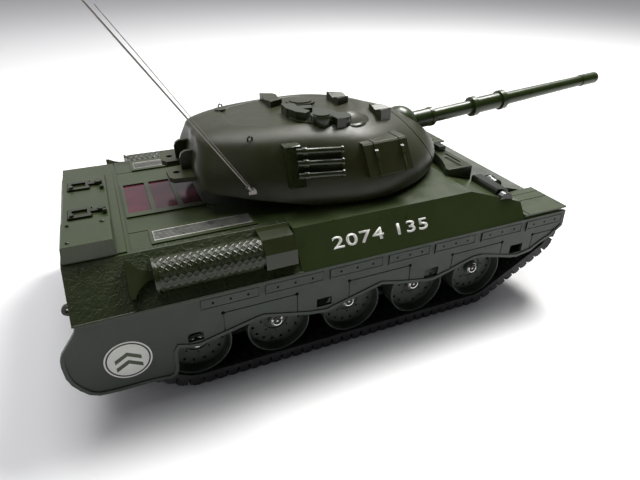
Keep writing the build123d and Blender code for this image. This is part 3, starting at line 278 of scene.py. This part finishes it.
NODE_MAT = {
    "hull": ["upper_hull", "rear_deck_cover"],
    "detail": ["driver_hatch"], "gloss": ["gun_travel_lock", "tow_hooks", "muffler_right", "muffler_left", "smoke_launcher_right", "smoke_launcher_left", "commander_cupola"],
    "maroon": ["deck_window"], "louvre": ["louvre_right", "louvre_left"], "guard": ["headlight_guards"],
    "skirt": ["skirt_right", "skirt_left"], "chassis": ["lower_hull", "battery_cover"],
    "steel": ["chassis_screws", "stub_axles", "drive_motor_right", "drive_motor_left", "battery_contacts"],
    "wheel": ["road_wheel_%s_%d" % (s, i) for _, s in SIDES for i in range(1, 6)] + ["idler_wheel_right", "idler_wheel_left", "sprocket_right", "sprocket_left"],
    "chrome": ["axle_cups"], "rubber": ["track_right", "track_left"],
    "acetal": ["drive_gear_right", "drive_gear_left", "pinion_right", "pinion_left"],
    "black": ["gearbox_frame", "switch_body", "power_switch", "turret_retainer"],
    "cell": ["battery_cells"], "board": ["receiver_board"],
    "turret": ["turret_shell", "turret_floor", "roof_sights", "stowage_box_right", "stowage_box_left"],
    "spring": ["antenna"], "gun": ["gun_mantlet", "gun_barrel", "fume_extractor"],
}
for key, names in NODE_MAT.items():
    for n in names:
        put(NODES[n], key)


def soften(node, width, angle=32, segs=2):
    """Rounded moulding edges on a CAD node: welds the mesh's split corners, then bevels its sharp edges."""
    o = NODES[node]
    w = o.modifiers.new("weld", "WELD")
    w.merge_threshold = 2e-6
    b = o.modifiers.new("round", "BEVEL")
    b.width = width
    b.segments = segs
    b.limit_method = "ANGLE"
    b.angle_limit = math.radians(angle)
    b.harden_normals = True
    b.use_clamp_overlap = True
    b.miter_outer = "MITER_ARC"


for names, width in ((("rear_deck_cover", "driver_hatch", "headlight_guards", "muffler_right", "muffler_left"), 0.00035),
                     (("smoke_launcher_right", "smoke_launcher_left", "stowage_box_right", "stowage_box_left", "commander_cupola", "roof_sights"), 0.00025),
                     (("gun_travel_lock", "tow_hooks"), 0.00018), (("upper_hull",), 0.00035)):
    for n in names:
        soften(n, width)


# ------------------------------------------------------------------ mesh helpers
def mesh_obj(name, verts, faces, key, body, smooth=False, angle=35):
    me = bpy.data.meshes.new(name)
    me.from_pydata([tuple(v) for v in verts], [], faces)
    me.validate()
    bm = bmesh.new()
    bm.from_mesh(me)
    bmesh.ops.remove_doubles(bm, verts=bm.verts, dist=1e-7)
    bmesh.ops.recalc_face_normals(bm, faces=bm.faces)
    bm.to_mesh(me)
    bm.free()
    o = bpy.data.objects.new(name, me)
    bpy.context.scene.collection.objects.link(o)
    me.materials.append(MATS[key])
    if smooth:
        me.polygons.foreach_set("use_smooth", [True] * len(me.polygons))
        me.set_sharp_from_angle(angle=math.radians(angle))
    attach(o, body)
    return o


class Geo:
    """Collects closed pieces in model metres."""

    def __init__(self):
        self.v, self.f = [], []

    def add(self, verts, faces):
        k = len(self.v)
        self.v += [Vector(v) for v in verts]
        self.f += [tuple(i + k for i in f) for f in faces]

    def prism(self, base, top):
        n = len(base)
        self.add(list(base) + list(top), [tuple(range(n - 1, -1, -1)), tuple(range(n, 2 * n))] + [(i, (i + 1) % n, n + (i + 1) % n, n + i) for i in range(n)])

    def box(self, x0, x1, y0, y1, z0, z1, c=0.0):
        """box in stations, with chamfered corners c"""
        y0, y1 = min(y0, y1), max(y0, y1)
        me = bmesh.new()
        bmesh.ops.create_cube(me, size=1.0)
        for v in me.verts:
            v.co = Vector(((x0 + x1) / 2 + v.co.x * (x1 - x0), (y0 + y1) / 2 + v.co.y * (y1 - y0), (z0 + z1) / 2 + v.co.z * (z1 - z0)))
        if c > 0:
            bmesh.ops.bevel(me, geom=list(me.edges), offset=c, segments=2, affect="EDGES", profile=0.6)
        self.take(me)

    def take(self, me, place=None):
        me.verts.ensure_lookup_table()
        self.add([P(*((place @ v.co) if place else v.co)) for v in me.verts], [tuple(x.index for x in f.verts) for f in me.faces])
        me.free()

    def revolve(self, profile, origin, axis, seg=48, closed=True):
        """profile: list of (along, radius) mm; origin in stations; axis a unit vector"""
        axis = Vector(axis).normalized()
        u = axis.orthogonal().normalized()
        w = axis.cross(u)
        vs, fs = [], []
        n = len(profile)
        for k in range(seg):
            a = 2 * math.pi * k / seg
            dr = u * math.cos(a) + w * math.sin(a)
            for al, r in profile:
                p = Vector(origin) + axis * al + dr * r
                vs.append(P(*p))
        for k in range(seg):
            k2 = (k + 1) % seg
            for i in range(n if closed else n - 1):
                j = (i + 1) % n
                fs.append((k * n + i, k * n + j, k2 * n + j, k2 * n + i))
        self.add(vs, fs)

    def dome(self, origin, axis, r, h, seg=14):
        """low round rivet head standing on a surface"""
        prof = [(0.0, r), (h * 0.45, r * 0.96), (h * 0.8, r * 0.7), (h, r * 0.30)]
        axis = Vector(axis).normalized()
        u = axis.orthogonal().normalized()
        w = axis.cross(u)
        vs = []
        for al, rr in prof:
            for k in range(seg):
                a = 2 * math.pi * k / seg
                vs.append(P(*(Vector(origin) + axis * al + (u * math.cos(a) + w * math.sin(a)) * rr)))
        fs = [tuple(range(seg - 1, -1, -1)), tuple(range(3 * seg, 4 * seg))]
        for i in range(3):
            for k in range(seg):
                k2 = (k + 1) % seg
                fs.append((i * seg + k, i * seg + k2, (i + 1) * seg + k2, (i + 1) * seg + k))
        self.add(vs, fs)

    def tube(self, pts, r, seg=10):
        """round bar along points in stations, with a radius or a list of radii"""
        pts = [Vector(p) for p in pts]
        n = len(pts)
        rs = r if isinstance(r, (list, tuple)) else [r] * n
        up = None
        vs, fs = [], []
        for i, p in enumerate(pts):
            t = (pts[min(n - 1, i + 1)] - pts[max(0, i - 1)]).normalized()
            if up is None:
                up = t.orthogonal().normalized()
            up = (up - t * up.dot(t)).normalized()
            w = t.cross(up)
            for k in range(seg):
                a = 2 * math.pi * k / seg
                vs.append(P(*(p + (up * math.cos(a) + w * math.sin(a)) * rs[i])))
        for i in range(n - 1):
            for k in range(seg):
                k2 = (k + 1) % seg
                fs.append((i * seg + k, i * seg + k2, (i + 1) * seg + k2, (i + 1) * seg + k))
        fs += [tuple(range(seg - 1, -1, -1)), tuple((n - 1) * seg + k for k in range(seg))]
        self.add(vs, fs)

    def make(self, name, key, body, smooth=False, slot=None, angle=35):
        return mesh_obj(name, self.v, self.f, key, body, smooth, angle)


# ------------------------------------------------------------------ tracks: perforated belts with cleats
SPROCKET, IDLER, END_R, BELT_CLEAR, BELT_T, PAD_PITCH = (12.0, 42.3), (284.6, 42.3), 9.4, 0.3, 7.3, 6.6


def belt_base():
    cs = [(SPROCKET[0], SPROCKET[1], END_R), (WHEEL_X[0], WHEEL_Z, WHEEL_R), (WHEEL_X[4], WHEEL_Z, WHEEL_R), (IDLER[0], IDLER[1], END_R)]
    cs = [(a, b, r + BELT_CLEAR) for a, b, r in cs]
    n = len(cs)
    tang = []
    for i in range(n):
        (x0, z0, r0), (x1, z1, r1) = cs[i], cs[(i + 1) % n]
        dx, dz = x1 - x0, z1 - z0
        tang.append(math.atan2(dz, dx) - math.pi / 2 + math.asin((r0 - r1) / math.hypot(dx, dz)))
    pts = []
    for i in range(n):
        x0, z0, r0 = cs[i]
        a_in, a_out = tang[i - 1], tang[i]
        while a_out < a_in - 1e-9:
            a_out += 2 * math.pi
        k = max(2, int((a_out - a_in) / math.radians(3)) + 1)
        for j in range(k + 1):
            a = a_in + (a_out - a_in) * j / k
            pts.append((x0 + r0 * math.cos(a), z0 + r0 * math.sin(a), math.cos(a), math.sin(a)))
    return pts


def belt_sampler():
    pts = belt_base()
    n = len(pts)
    cum = [0.0]
    for i in range(n):
        a, b = pts[i], pts[(i + 1) % n]
        cum.append(cum[-1] + math.hypot(b[0] - a[0], b[1] - a[1]))
    loop = cum[-1]

    def at(s):
        s = s % loop
        lo = 0
        for k in range(n):
            if cum[k] <= s + 1e-9:
                lo = k
        a, b = pts[lo], pts[(lo + 1) % n]
        t = (s - cum[lo]) / max(1e-9, cum[lo + 1] - cum[lo])
        nx, nz = a[2] + (b[2] - a[2]) * t, a[3] + (b[3] - a[3]) * t
        q = math.hypot(nx, nz)
        return (a[0] + (b[0] - a[0]) * t, a[1] + (b[1] - a[1]) * t, nx / q, nz / q)
    return at, loop


def build_track(sg, side):
    at, loop = belt_sampler()
    n_pad = round(loop / PAD_PITCH)
    pitch = loop / n_pad
    fr = [0.0, 0.10, 0.30, 0.72, 0.92]                       # along one link
    ys = [56.0, 58.0, 60.6, 62.2, 65.0, 71.2, 73.8, 74.6, 78.6, 80.2, 81.5]      # across the belt
    T = BELT_T

    def cell(i, j):
        """(inner height, outer height) of a belt cell, or None for a through hole"""
        lo, hi = 0.0, T - 3.6
        mid = (ys[j] + ys[j + 1]) / 2
        if 65.0 < mid < 71.2:
            lo = 2.0
        if i in (1, 2, 3):                                   # cleat block on the outside
            hi = T
        if i in (0, 4):
            if mid < 58 or mid > 80.2:
                hi = T - 4.4
        if i == 2:
            if 74.6 < mid < 78.6 or 58.0 < mid < 60.6:
                return None                                  # window through the link
            if mid < 65.0 and mid > 62.2:
                lo = -0.0
        if i in (1, 3) and (mid > 80.2 or mid < 58):
            hi = T - 0.5
        return lo, hi
    m, w = len(fr), len(ys) - 1
    total = n_pad * m
    S = [(k // m + fr[k % m]) * pitch for k in range(total)]
    A = [at(s) for s in S]
    vs, fs, key = [], [], {}

    def vert(k, j, h):
        k %= total
        q = (k, j, round(h, 4))
        if q not in key:
            x, z, nx, nz = A[k]
            zz = z + nz * h
            if abs(zz) < 0.03 and h > T - 0.1:
                zz = 0.0
            key[q] = len(vs)
            vs.append(P(x + nx * h, sg * ys[j], zz))
        return key[q]
    C = [[cell(i, j) for j in range(w)] for i in range(m)]
    for k in range(total):
        i = k % m
        for j in range(w):
            c = C[i][j]
            if c is None:
                continue
            lo, hi = c
            fs.append((vert(k, j, hi), vert(k + 1, j, hi), vert(k + 1, j + 1, hi), vert(k, j + 1, hi)))
            fs.append((vert(k, j, lo), vert(k, j + 1, lo), vert(k + 1, j + 1, lo), vert(k + 1, j, lo)))
            for (dk, dj) in ((1, 0), (-1, 0), (0, 1), (0, -1)):
                if 0 <= j + dj < w:
                    o = C[(k + dk) % total % m][j + dj]
                else:
                    o = None
                spans = [(lo, hi)] if o is None else [(lo, min(hi, max(lo, o[0]))), (max(lo, min(hi, o[1])), hi)]
                for a, b in spans:
                    if b - a < 1e-6:
                        continue
                    if dk == 1:
                        e = ((k + 1, j), (k + 1, j + 1))
                    elif dk == -1:
                        e = ((k, j + 1), (k, j))
                    elif dj == 1:
                        e = ((k + 1, j + 1), (k, j + 1))
                    else:
                        e = ((k, j), (k + 1, j))
                    fs.append((vert(*e[0], a), vert(*e[1], a), vert(*e[1], b), vert(*e[0], b)))
    o = mesh_obj("track_belt_" + side, vs, fs, "rubber", "hull")
    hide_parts("track_" + side)


for sg, side in SIDES:
    build_track(sg, side)


# ------------------------------------------------------------------ cast-textured skins on the hull's side slopes
def patch(name, corner, nu, nv, key, body, amp, freq, fade=0.0, lift=0.10, seed=0.0):
    """Displaced skin: corner(u, v) gives a station point and normal; rough like sand-cast armour."""
    vs, fs = [], []
    for i in range(nu + 1):
        for j in range(nv + 1):
            u, v = i / nu, j / nv
            p, n = corner(u, v)
            q = Vector(p) * freq + Vector((seed, seed, seed))
            h = noise.fractal(q, 0.6, 2.1, 3) * 0.5 + 0.5 * noise.noise(q * 0.45)
            f = min(1.0, min(u, 1 - u) * nu / 3.0, min(v, 1 - v) * nv / 3.0)
            vs.append(P(*(Vector(p) + Vector(n) * (lift + f * max(-lift * 0.8, amp * h)))))
    for i in range(nu):
        for j in range(nv):
            a = i * (nv + 1) + j
            fs.append((a, a + 1, a + nv + 2, a + nv + 1))
    o = mesh_obj(name, vs, fs, key, body, smooth=True, angle=80)
    return o


for sg, side in SIDES:
    ny, nz = DECK_Z - SILL_Z, HALF_W - 63.5
    q = math.hypot(ny, nz)
    nr = (0, sg * ny / q, nz / q)

    def slope_rear(u, v, sg=sg, nr=nr):
        x = -1.6 + u * 113.4
        return (x, sg * (84.7 + (63.9 - 84.7) * v), 62.0 + (81.75 - 62.0) * v), nr
    patch("cast_slope_" + side, slope_rear, 420, 100, "hull_cast", "hull", 0.20, 1.15)

    def strip(u, v, sg=sg):
        return (31.5 + u * 80.5, sg * (59.6 + 3.7 * v), DECK_Z), (0, 0, 1)
    patch("cast_strip_" + side, strip, 240, 12, "hull_cast", "hull", 0.30, 0.9, lift=0.08, seed=7.0)

# ------------------------------------------------------------------ mufflers: wire-mesh wrap over the cylinder
MUF_Y, MUF_Z, MUF_R = 74.5, 73.4, 8.5


def muffler_wrap(sg, side):
    nu, nv = 330, 150
    x0, x1 = 40.2, 92.6
    # only the part that shows outside the slope
    a0, a1 = math.radians(-52), math.radians(140)
    pitch_u, pitch_v = 3.6, 3.6
    vs, fs = [], []
    for i in range(nu + 1):
        for j in range(nv + 1):
            x = x0 + (x1 - x0) * i / nu
            a = a0 + (a1 - a0) * j / nv
            s = MUF_R * a
            p, r = (x + s) / pitch_u, (x - s) / pitch_v
            f1, f2 = abs((p % 1.0) - 0.5) * 2, abs((r % 1.0) - 0.5) * 2
            wire = max(0.0, 1 - ((1 - f1) / 0.42) ** 2), max(0.0, 1 - ((1 - f2) / 0.42) ** 2)
            weave = 0.5 + 0.5 * math.cos(math.pi * (math.floor(p) + math.floor(r)))
            h = max(wire[0] * (0.55 + 0.25 * weave), wire[1] * (0.8 - 0.25 * weave))
            h += 0.10 * noise.noise(Vector((x * 0.8, s * 0.8, 3.1)))
            if abs(x - 59) < 0.5 or abs(x - 76.5) < 0.5:
                h *= 0.2
            R = MUF_R + 0.04 + 0.32 * max(0.0, h) * min(1.0, min(i, nu - i) / 4.0)
            vs.append(P(x, sg * (MUF_Y + R * math.cos(a)), MUF_Z + R * math.sin(a)))
    for i in range(nu):
        for j in range(nv):
            k = i * (nv + 1) + j
            fs.append((k, k + 1, k + nv + 2, k + nv + 1))
    mesh_obj("muffler_mesh_" + side, vs, fs, "wrap", "hull", smooth=True, angle=80)


for sg, side in SIDES:
    muffler_wrap(sg, side)

# ------------------------------------------------------------------ skirts: screw heads and hinge points, coloured with the near-black shadow material as painted shade
PANELS = [(57.0, 88.0), (91.5, 125.0), (129.0, 162.5), (166.5, 194.5), (198.5, 228.0), (233.0, 265.0), (269.0, 299.0)]
HINGE = [67.7, 109.1, 141.3, 181.9, 212.6, 251.5, 276.7]
for sg, side in SIDES:
    g = Geo()
    for x0, x1 in PANELS:
        for k in range(3):
            g.dome((x0 + (x1 - x0) * (0.2 + 0.3 * k), sg * (HALF_W - 0.55), 56.6), (0, sg, 0), 0.66, 0.42)
    for hx in HINGE:
        g.dome((hx, sg * (HALF_W - 1.25), 48.2), (0, sg, 0), 1.05, 0.85)
    g.make("skirt_screw_and_hinge_shade_" + side, "hole", "hull", smooth=True, slot="skirt_green")

# ------------------------------------------------------------------ plain tactical number on the side slopes
SLOPE_HW = 71.0


def on_slope(x, t, sg, lift=0.05):
    """point on the front side slope: t = 0 at the sill, 1 at the deck edge"""
    ny, nz = DECK_Z - SILL_Z, HALF_W - SLOPE_HW
    q = math.hypot(ny, nz)
    return P(x, sg * (HALF_W + (SLOPE_HW - HALF_W) * t + lift * ny / q), SILL_Z + (DECK_Z - SILL_Z) * t + lift * nz / q)


def number(text, sg, side):
    cu = bpy.data.curves.new("number_curve", "FONT")
    cu.body = text
    cu.size = 10.0
    cu.align_x = "CENTER"
    cu.space_character = 1.12
    cu.offset = 0.16
    tmp = bpy.data.objects.new("number_tmp", cu)
    bpy.context.scene.collection.objects.link(tmp)
    dg = bpy.context.evaluated_depsgraph_get()
    me = bpy.data.meshes.new_from_object(tmp.evaluated_get(dg))
    bpy.data.objects.remove(tmp)
    xs = [v.co.x for v in me.vertices]
    ys = [v.co.y for v in me.vertices]
    L = math.hypot(DECK_Z - SILL_Z, HALF_W - SLOPE_HW)
    kx, ky = 62.0 / (max(xs) - min(xs)), 7.0 / (max(ys) - min(ys))
    for v in me.vertices:
        x = (v.co.x - (max(xs) + min(xs)) / 2) * kx
        t = 0.345 + (v.co.y - min(ys)) * ky / L
        v.co = on_slope(164.0 - sg * x, t, sg)
    o = bpy.data.objects.new("number_" + side, me)
    bpy.context.scene.collection.objects.link(o)
    sol = o.modifiers.new("thick", "SOLIDIFY")
    sol.thickness = 0.00008
    sol.offset = 0
    me.materials.clear()
    me.materials.append(MATS["white"])
    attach(o, "hull")


for sg, side in SIDES:
    number("2074 135", sg, side)


# ------------------------------------------------------------------ plain round badge on the rear of the skirts
def disc(name, sg, cx, cz, r_in, r_out, key, lift):
    g = Geo()
    n = 64
    y0, y1 = sg * (HALF_W - 0.65), sg * (HALF_W - 0.6 + lift)
    vs, fs = [], []
    for k in range(n):
        a = 2 * math.pi * k / n
        for r, y in ((r_in, y0), (r_in, y1), (r_out, y1), (r_out, y0)):
            vs.append(P(cx + r * math.cos(a), y, cz + r * math.sin(a)))
    for k in range(n):
        for i in range(4):
            j = (i + 1) % 4
            k2 = (k + 1) % n
            fs.append((k * 4 + i, k * 4 + j, k2 * 4 + j, k2 * 4 + i))
    g.add(vs, fs)
    g.make(name, key, "hull")


def chevron(name, sg, cx, cz, key, lift):
    g = Geo()
    y0, y1 = sg * (HALF_W - 0.65), sg * (HALF_W - 0.6 + lift)
    for dz in (3.4, -1.6):
        for k in (-1, 1):
            ring = [(0, dz + 1.6), (0, dz - 0.9), (k * 6.4, dz - 4.6), (k * 6.4, dz - 2.1)]
            g.prism([P(cx + x, y0, cz + z) for x, z in ring], [P(cx + x, y1, cz + z) for x, z in ring])
    g.make(name, key, "hull")


for sg, side in SIDES:
    disc("badge_white_" + side, sg, 18.0, 34.0, 0.01, 11.6, "white", 0.10)
    disc("badge_ring_" + side, sg, 18.0, 34.0, 10.0, 10.8, "black", 0.16)
    chevron("badge_chevron_" + side, sg, 18.0, 34.0, "hull", 0.16)

# ------------------------------------------------------------------ rear plate holes
# the holes are near-black domes of painted shade
g = Geo()
for z in (49.0, 55.5):
    for sg in (-1, 1):
        g.dome((-2.0, sg * 43.0, z), (-1, 0, 0), 1.2, 0.3)
g.make("rear_plate_hole_shade", "hole", "hull", smooth=True, slot="hull_green")

# ------------------------------------------------------------------ bright rings of the axle cups, with black discs in their sockets as painted shade
for sg, side in SIDES:
    ring, socket_shade = Geo(), Geo()
    for wx in WHEEL_X:
        y0 = HUB_Y + 1.6
        ring.revolve([(0.0, 2.3), (0.75, 2.45), (0.85, 2.85), (0.5, 3.3), (0.0, 3.45)], (wx, sg * y0, WHEEL_Z), (0, sg, 0), seg=40)
        socket_shade.revolve([(0.0, 0.75), (0.62, 0.75), (0.62, 2.25), (0.0, 2.25)], (wx, sg * y0, WHEEL_Z), (0, sg, 0), seg=32)
    ring.make("cup_rings_" + side, "chrome", "hull", smooth=True, slot="bright_cup")
    socket_shade.make("cup_socket_shade_" + side, "black", "hull", slot="bright_cup")

# ------------------------------------------------------------------ framed panels along the skirts
for sg, side in SIDES:
    g = Geo()
    for x0, x1 in PANELS:
        z0, z1 = 53.4, 59.6
        ya, yb = sg * (HALF_W - 0.9), sg * (HALF_W + 0.28)
        g.box(x0, x1, ya, yb, z0, z0 + 0.6, 0.12)
        g.box(x0, x1, ya, yb, z1 - 0.6, z1, 0.12)
        g.box(x0, x0 + 0.6, ya, yb, z0 + 0.6, z1 - 0.6, 0.12)
        g.box(x1 - 0.6, x1, ya, yb, z0 + 0.6, z1 - 0.6, 0.12)
    g.make("skirt_panel_frames_" + side, "skirt", "hull", slot="skirt_green")

# ------------------------------------------------------------------ moulded beads along the hull edges
for sg, side in SIDES:
    g = Geo()
    g.tube([(-1.2, sg * 84.7, 61.9), (40, sg * 84.7, 61.9), (113.0, sg * 84.7, 61.9)], 0.6, 10)
    g.tube([(30.8, sg * 63.3, 82.0), (70, sg * 63.3, 82.0), (111.6, sg * 63.3, 82.0)], 0.30, 8)
    g.make("edge_beads_" + side, "gloss", "hull", smooth=True, slot="hull_green")

# ------------------------------------------------------------------ second, shorter strand of the whip
g = Geo()
g.tube([(95.7, -50.6, 101.5), (83.0, -50.4, 121.0), (66.5, -50.9, 147.0), (51.5, -51.2, 170.5), (36.9, -51.6, 193.0)], 0.20, 8)
g.make("whip_strand", "spring", "turret", smooth=True, slot="spring_steel")


# ------------------------------------------------------------------ small fittings set on the surfaces they stand on
def drop(x, y, z=150.0, direction=(0, 0, -1)):
    """first surface met going down (or along a direction) from a station point"""
    dg = bpy.context.evaluated_depsgraph_get()
    ok, loc, nor, _, _, _ = bpy.context.scene.ray_cast(dg, P(x, y, z), Vector(direction))
    if not ok:
        return None, None
    return Vector((loc.x * 1000 + ORIGIN_X, loc.y * 1000, loc.z * 1000)), nor


for sg, side in SIDES:
    g = Geo()
    at, nor = drop(101.0, sg * 33.8)
    if at is not None and at.z > 100:
        up = Vector((0, sg * 0.35, 0.94)).normalized()
        g.tube([at - up * 1.0, at + up * 1.7, at + up * 2.5 + Vector((1.0, 0, 0)), at + up * 2.1 + Vector((2.2, 0, 0)), at + up * 0.6 + Vector((2.6, 0, 0)), at - up * 1.0 + Vector((2.6, 0, 0))], 0.5, 10)
        g.make("lifting_eye_" + side, "gloss", "turret", smooth=True, slot="turret_green")

# low streamlined mound ahead of the cupola
vs, fs = [], []
NU, NV = 40, 12
for i in range(NU):
    a = 2 * math.pi * i / NU
    for j in range(NV + 1):
        t = j / NV
        r = 1.0 - t
        reach = 15.0 if math.cos(a) > 0 else 8.0
        x, y = 165.5 + reach * r * math.cos(a), -27.0 + 9.6 * r * math.sin(a)
        h = 3.4 * (1 - r * r) ** 1.2
        at, _ = drop(x, y) if j == 0 else (None, None)
        vs.append((x, y, h))
base_at = {}
dgm = NODES["turret_shell"]
from mathutils.bvhtree import BVHTree
tree = BVHTree.FromObject(dgm, bpy.context.evaluated_depsgraph_get())
inv = dgm.matrix_world.inverted()
pts = []
for x, y, h in vs:
    o = inv @ P(x, y, 150.0)
    hit = tree.ray_cast(o, inv.to_3x3() @ Vector((0, 0, -1)))
    z = (dgm.matrix_world @ hit[0]).z * 1000 if hit[0] is not None else 118.0
    pts.append(P(x, y, z - 0.35 + h))
for i in range(NU):
    i2 = (i + 1) % NU
    for j in range(NV):
        fs.append((i * (NV + 1) + j, i2 * (NV + 1) + j, i2 * (NV + 1) + j + 1, i * (NV + 1) + j + 1))
mesh_obj("cupola_mound", pts, fs, "turret", "turret", smooth=True, angle=80)

# knobs and screws of the rear cover
g = Geo()
for (x, y, r, h) in ((21.0, -19.0, 1.3, 2.6), (21.0, 16.0, 1.3, 2.2), (3.0, -58.5, 0.9, 0.7), (3.0, -40.5, 0.9, 0.9), (19.5, -41.0, 1.2, 0.8)):
    at, nor = drop(x, y)
    if at is not None:
        g.revolve([(-0.3, 0.01), (-0.3, r), (h * 0.7, r), (h, r * 0.7), (h, 0.01)], tuple(at), (0, 0, 1), seg=20)
g.make("cover_knobs", "gloss", "hull", smooth=True, slot="detail_green", angle=30)

# ------------------------------------------------------------------ light, floor, world
fl = bpy.data.meshes.new("floor")
fl.from_pydata([(-6, -6, 0), (6, -6, 0), (6, 6, 0), (-6, 6, 0)], [], [(0, 1, 2, 3)])
floor = bpy.data.objects.new("floor", fl)
bpy.context.scene.collection.objects.link(floor)
fm = Mat("floor_pale")
fm.link(fm.ramp(fm.noise(3, 3, 0.5), [(0.3, (0.93, 0.93, 0.94)), (0.7, (0.95, 0.95, 0.96))]), fm.sh.inputs["Base Color"])
fm.sh.inputs["Roughness"].default_value = 0.55
fl.materials.append(fm.m)
floor.location.z = -0.0001


def area(name, loc, target, size, power, col=(1, 1, 1), size_y=None):
    ld = bpy.data.lights.new(name, "AREA")
    ld.energy = power
    ld.color = col
    ld.size = size
    if size_y:
        ld.shape = "RECTANGLE"
        ld.size_y = size_y
    o = bpy.data.objects.new(name, ld)
    bpy.context.scene.collection.objects.link(o)
    o.location = loc
    o.rotation_euler = (Vector(target) - Vector(loc)).to_track_quat("-Z", "Y").to_euler()
    return o


area("key", (0.62, 0.42, 1.15), (0, 0, 0.05), 0.55, 20, (1.0, 0.99, 0.96), size_y=0.40)
area("top", (-0.15, 0.35, 1.4), (0, 0, 0.05), 0.9, 11, (1.0, 1.0, 1.0))
area("fill", (-0.9, -0.8, 1.0), (0, 0, 0.05), 0.8, 1.0, (0.97, 0.99, 1.0))
w = bpy.data.worlds.new("studio")
bpy.context.scene.world = w
w.use_nodes = True
wn, wl = w.node_tree.nodes, w.node_tree.links
wt = wn.new("ShaderNodeTexCoord")
sep = wn.new("ShaderNodeSeparateXYZ")
wl.new(wt.outputs["Generated"], sep.inputs[0])
wm = wn.new("ShaderNodeMath")
wm.operation = "MULTIPLY_ADD"
wl.new(sep.outputs["Y"], wm.inputs[0])
wm.inputs[1].default_value = 0.5
wm.inputs[2].default_value = 0.5
wr = wn.new("ShaderNodeValToRGB")
we = wr.color_ramp.elements
we[0].position, we[0].color = 0.36, (0.012, 0.012, 0.014, 1)
we[1].position, we[1].color = 0.86, (0.70, 0.69, 0.72, 1)
wl.new(wm.outputs[0], wr.inputs[0])
wl.new(wr.outputs[0], wn["Background"].inputs[0])
wn["Background"].inputs[1].default_value = 0.9
bpy.context.scene.view_settings.view_transform = "Standard"
bpy.context.scene.view_settings.exposure = 0.0
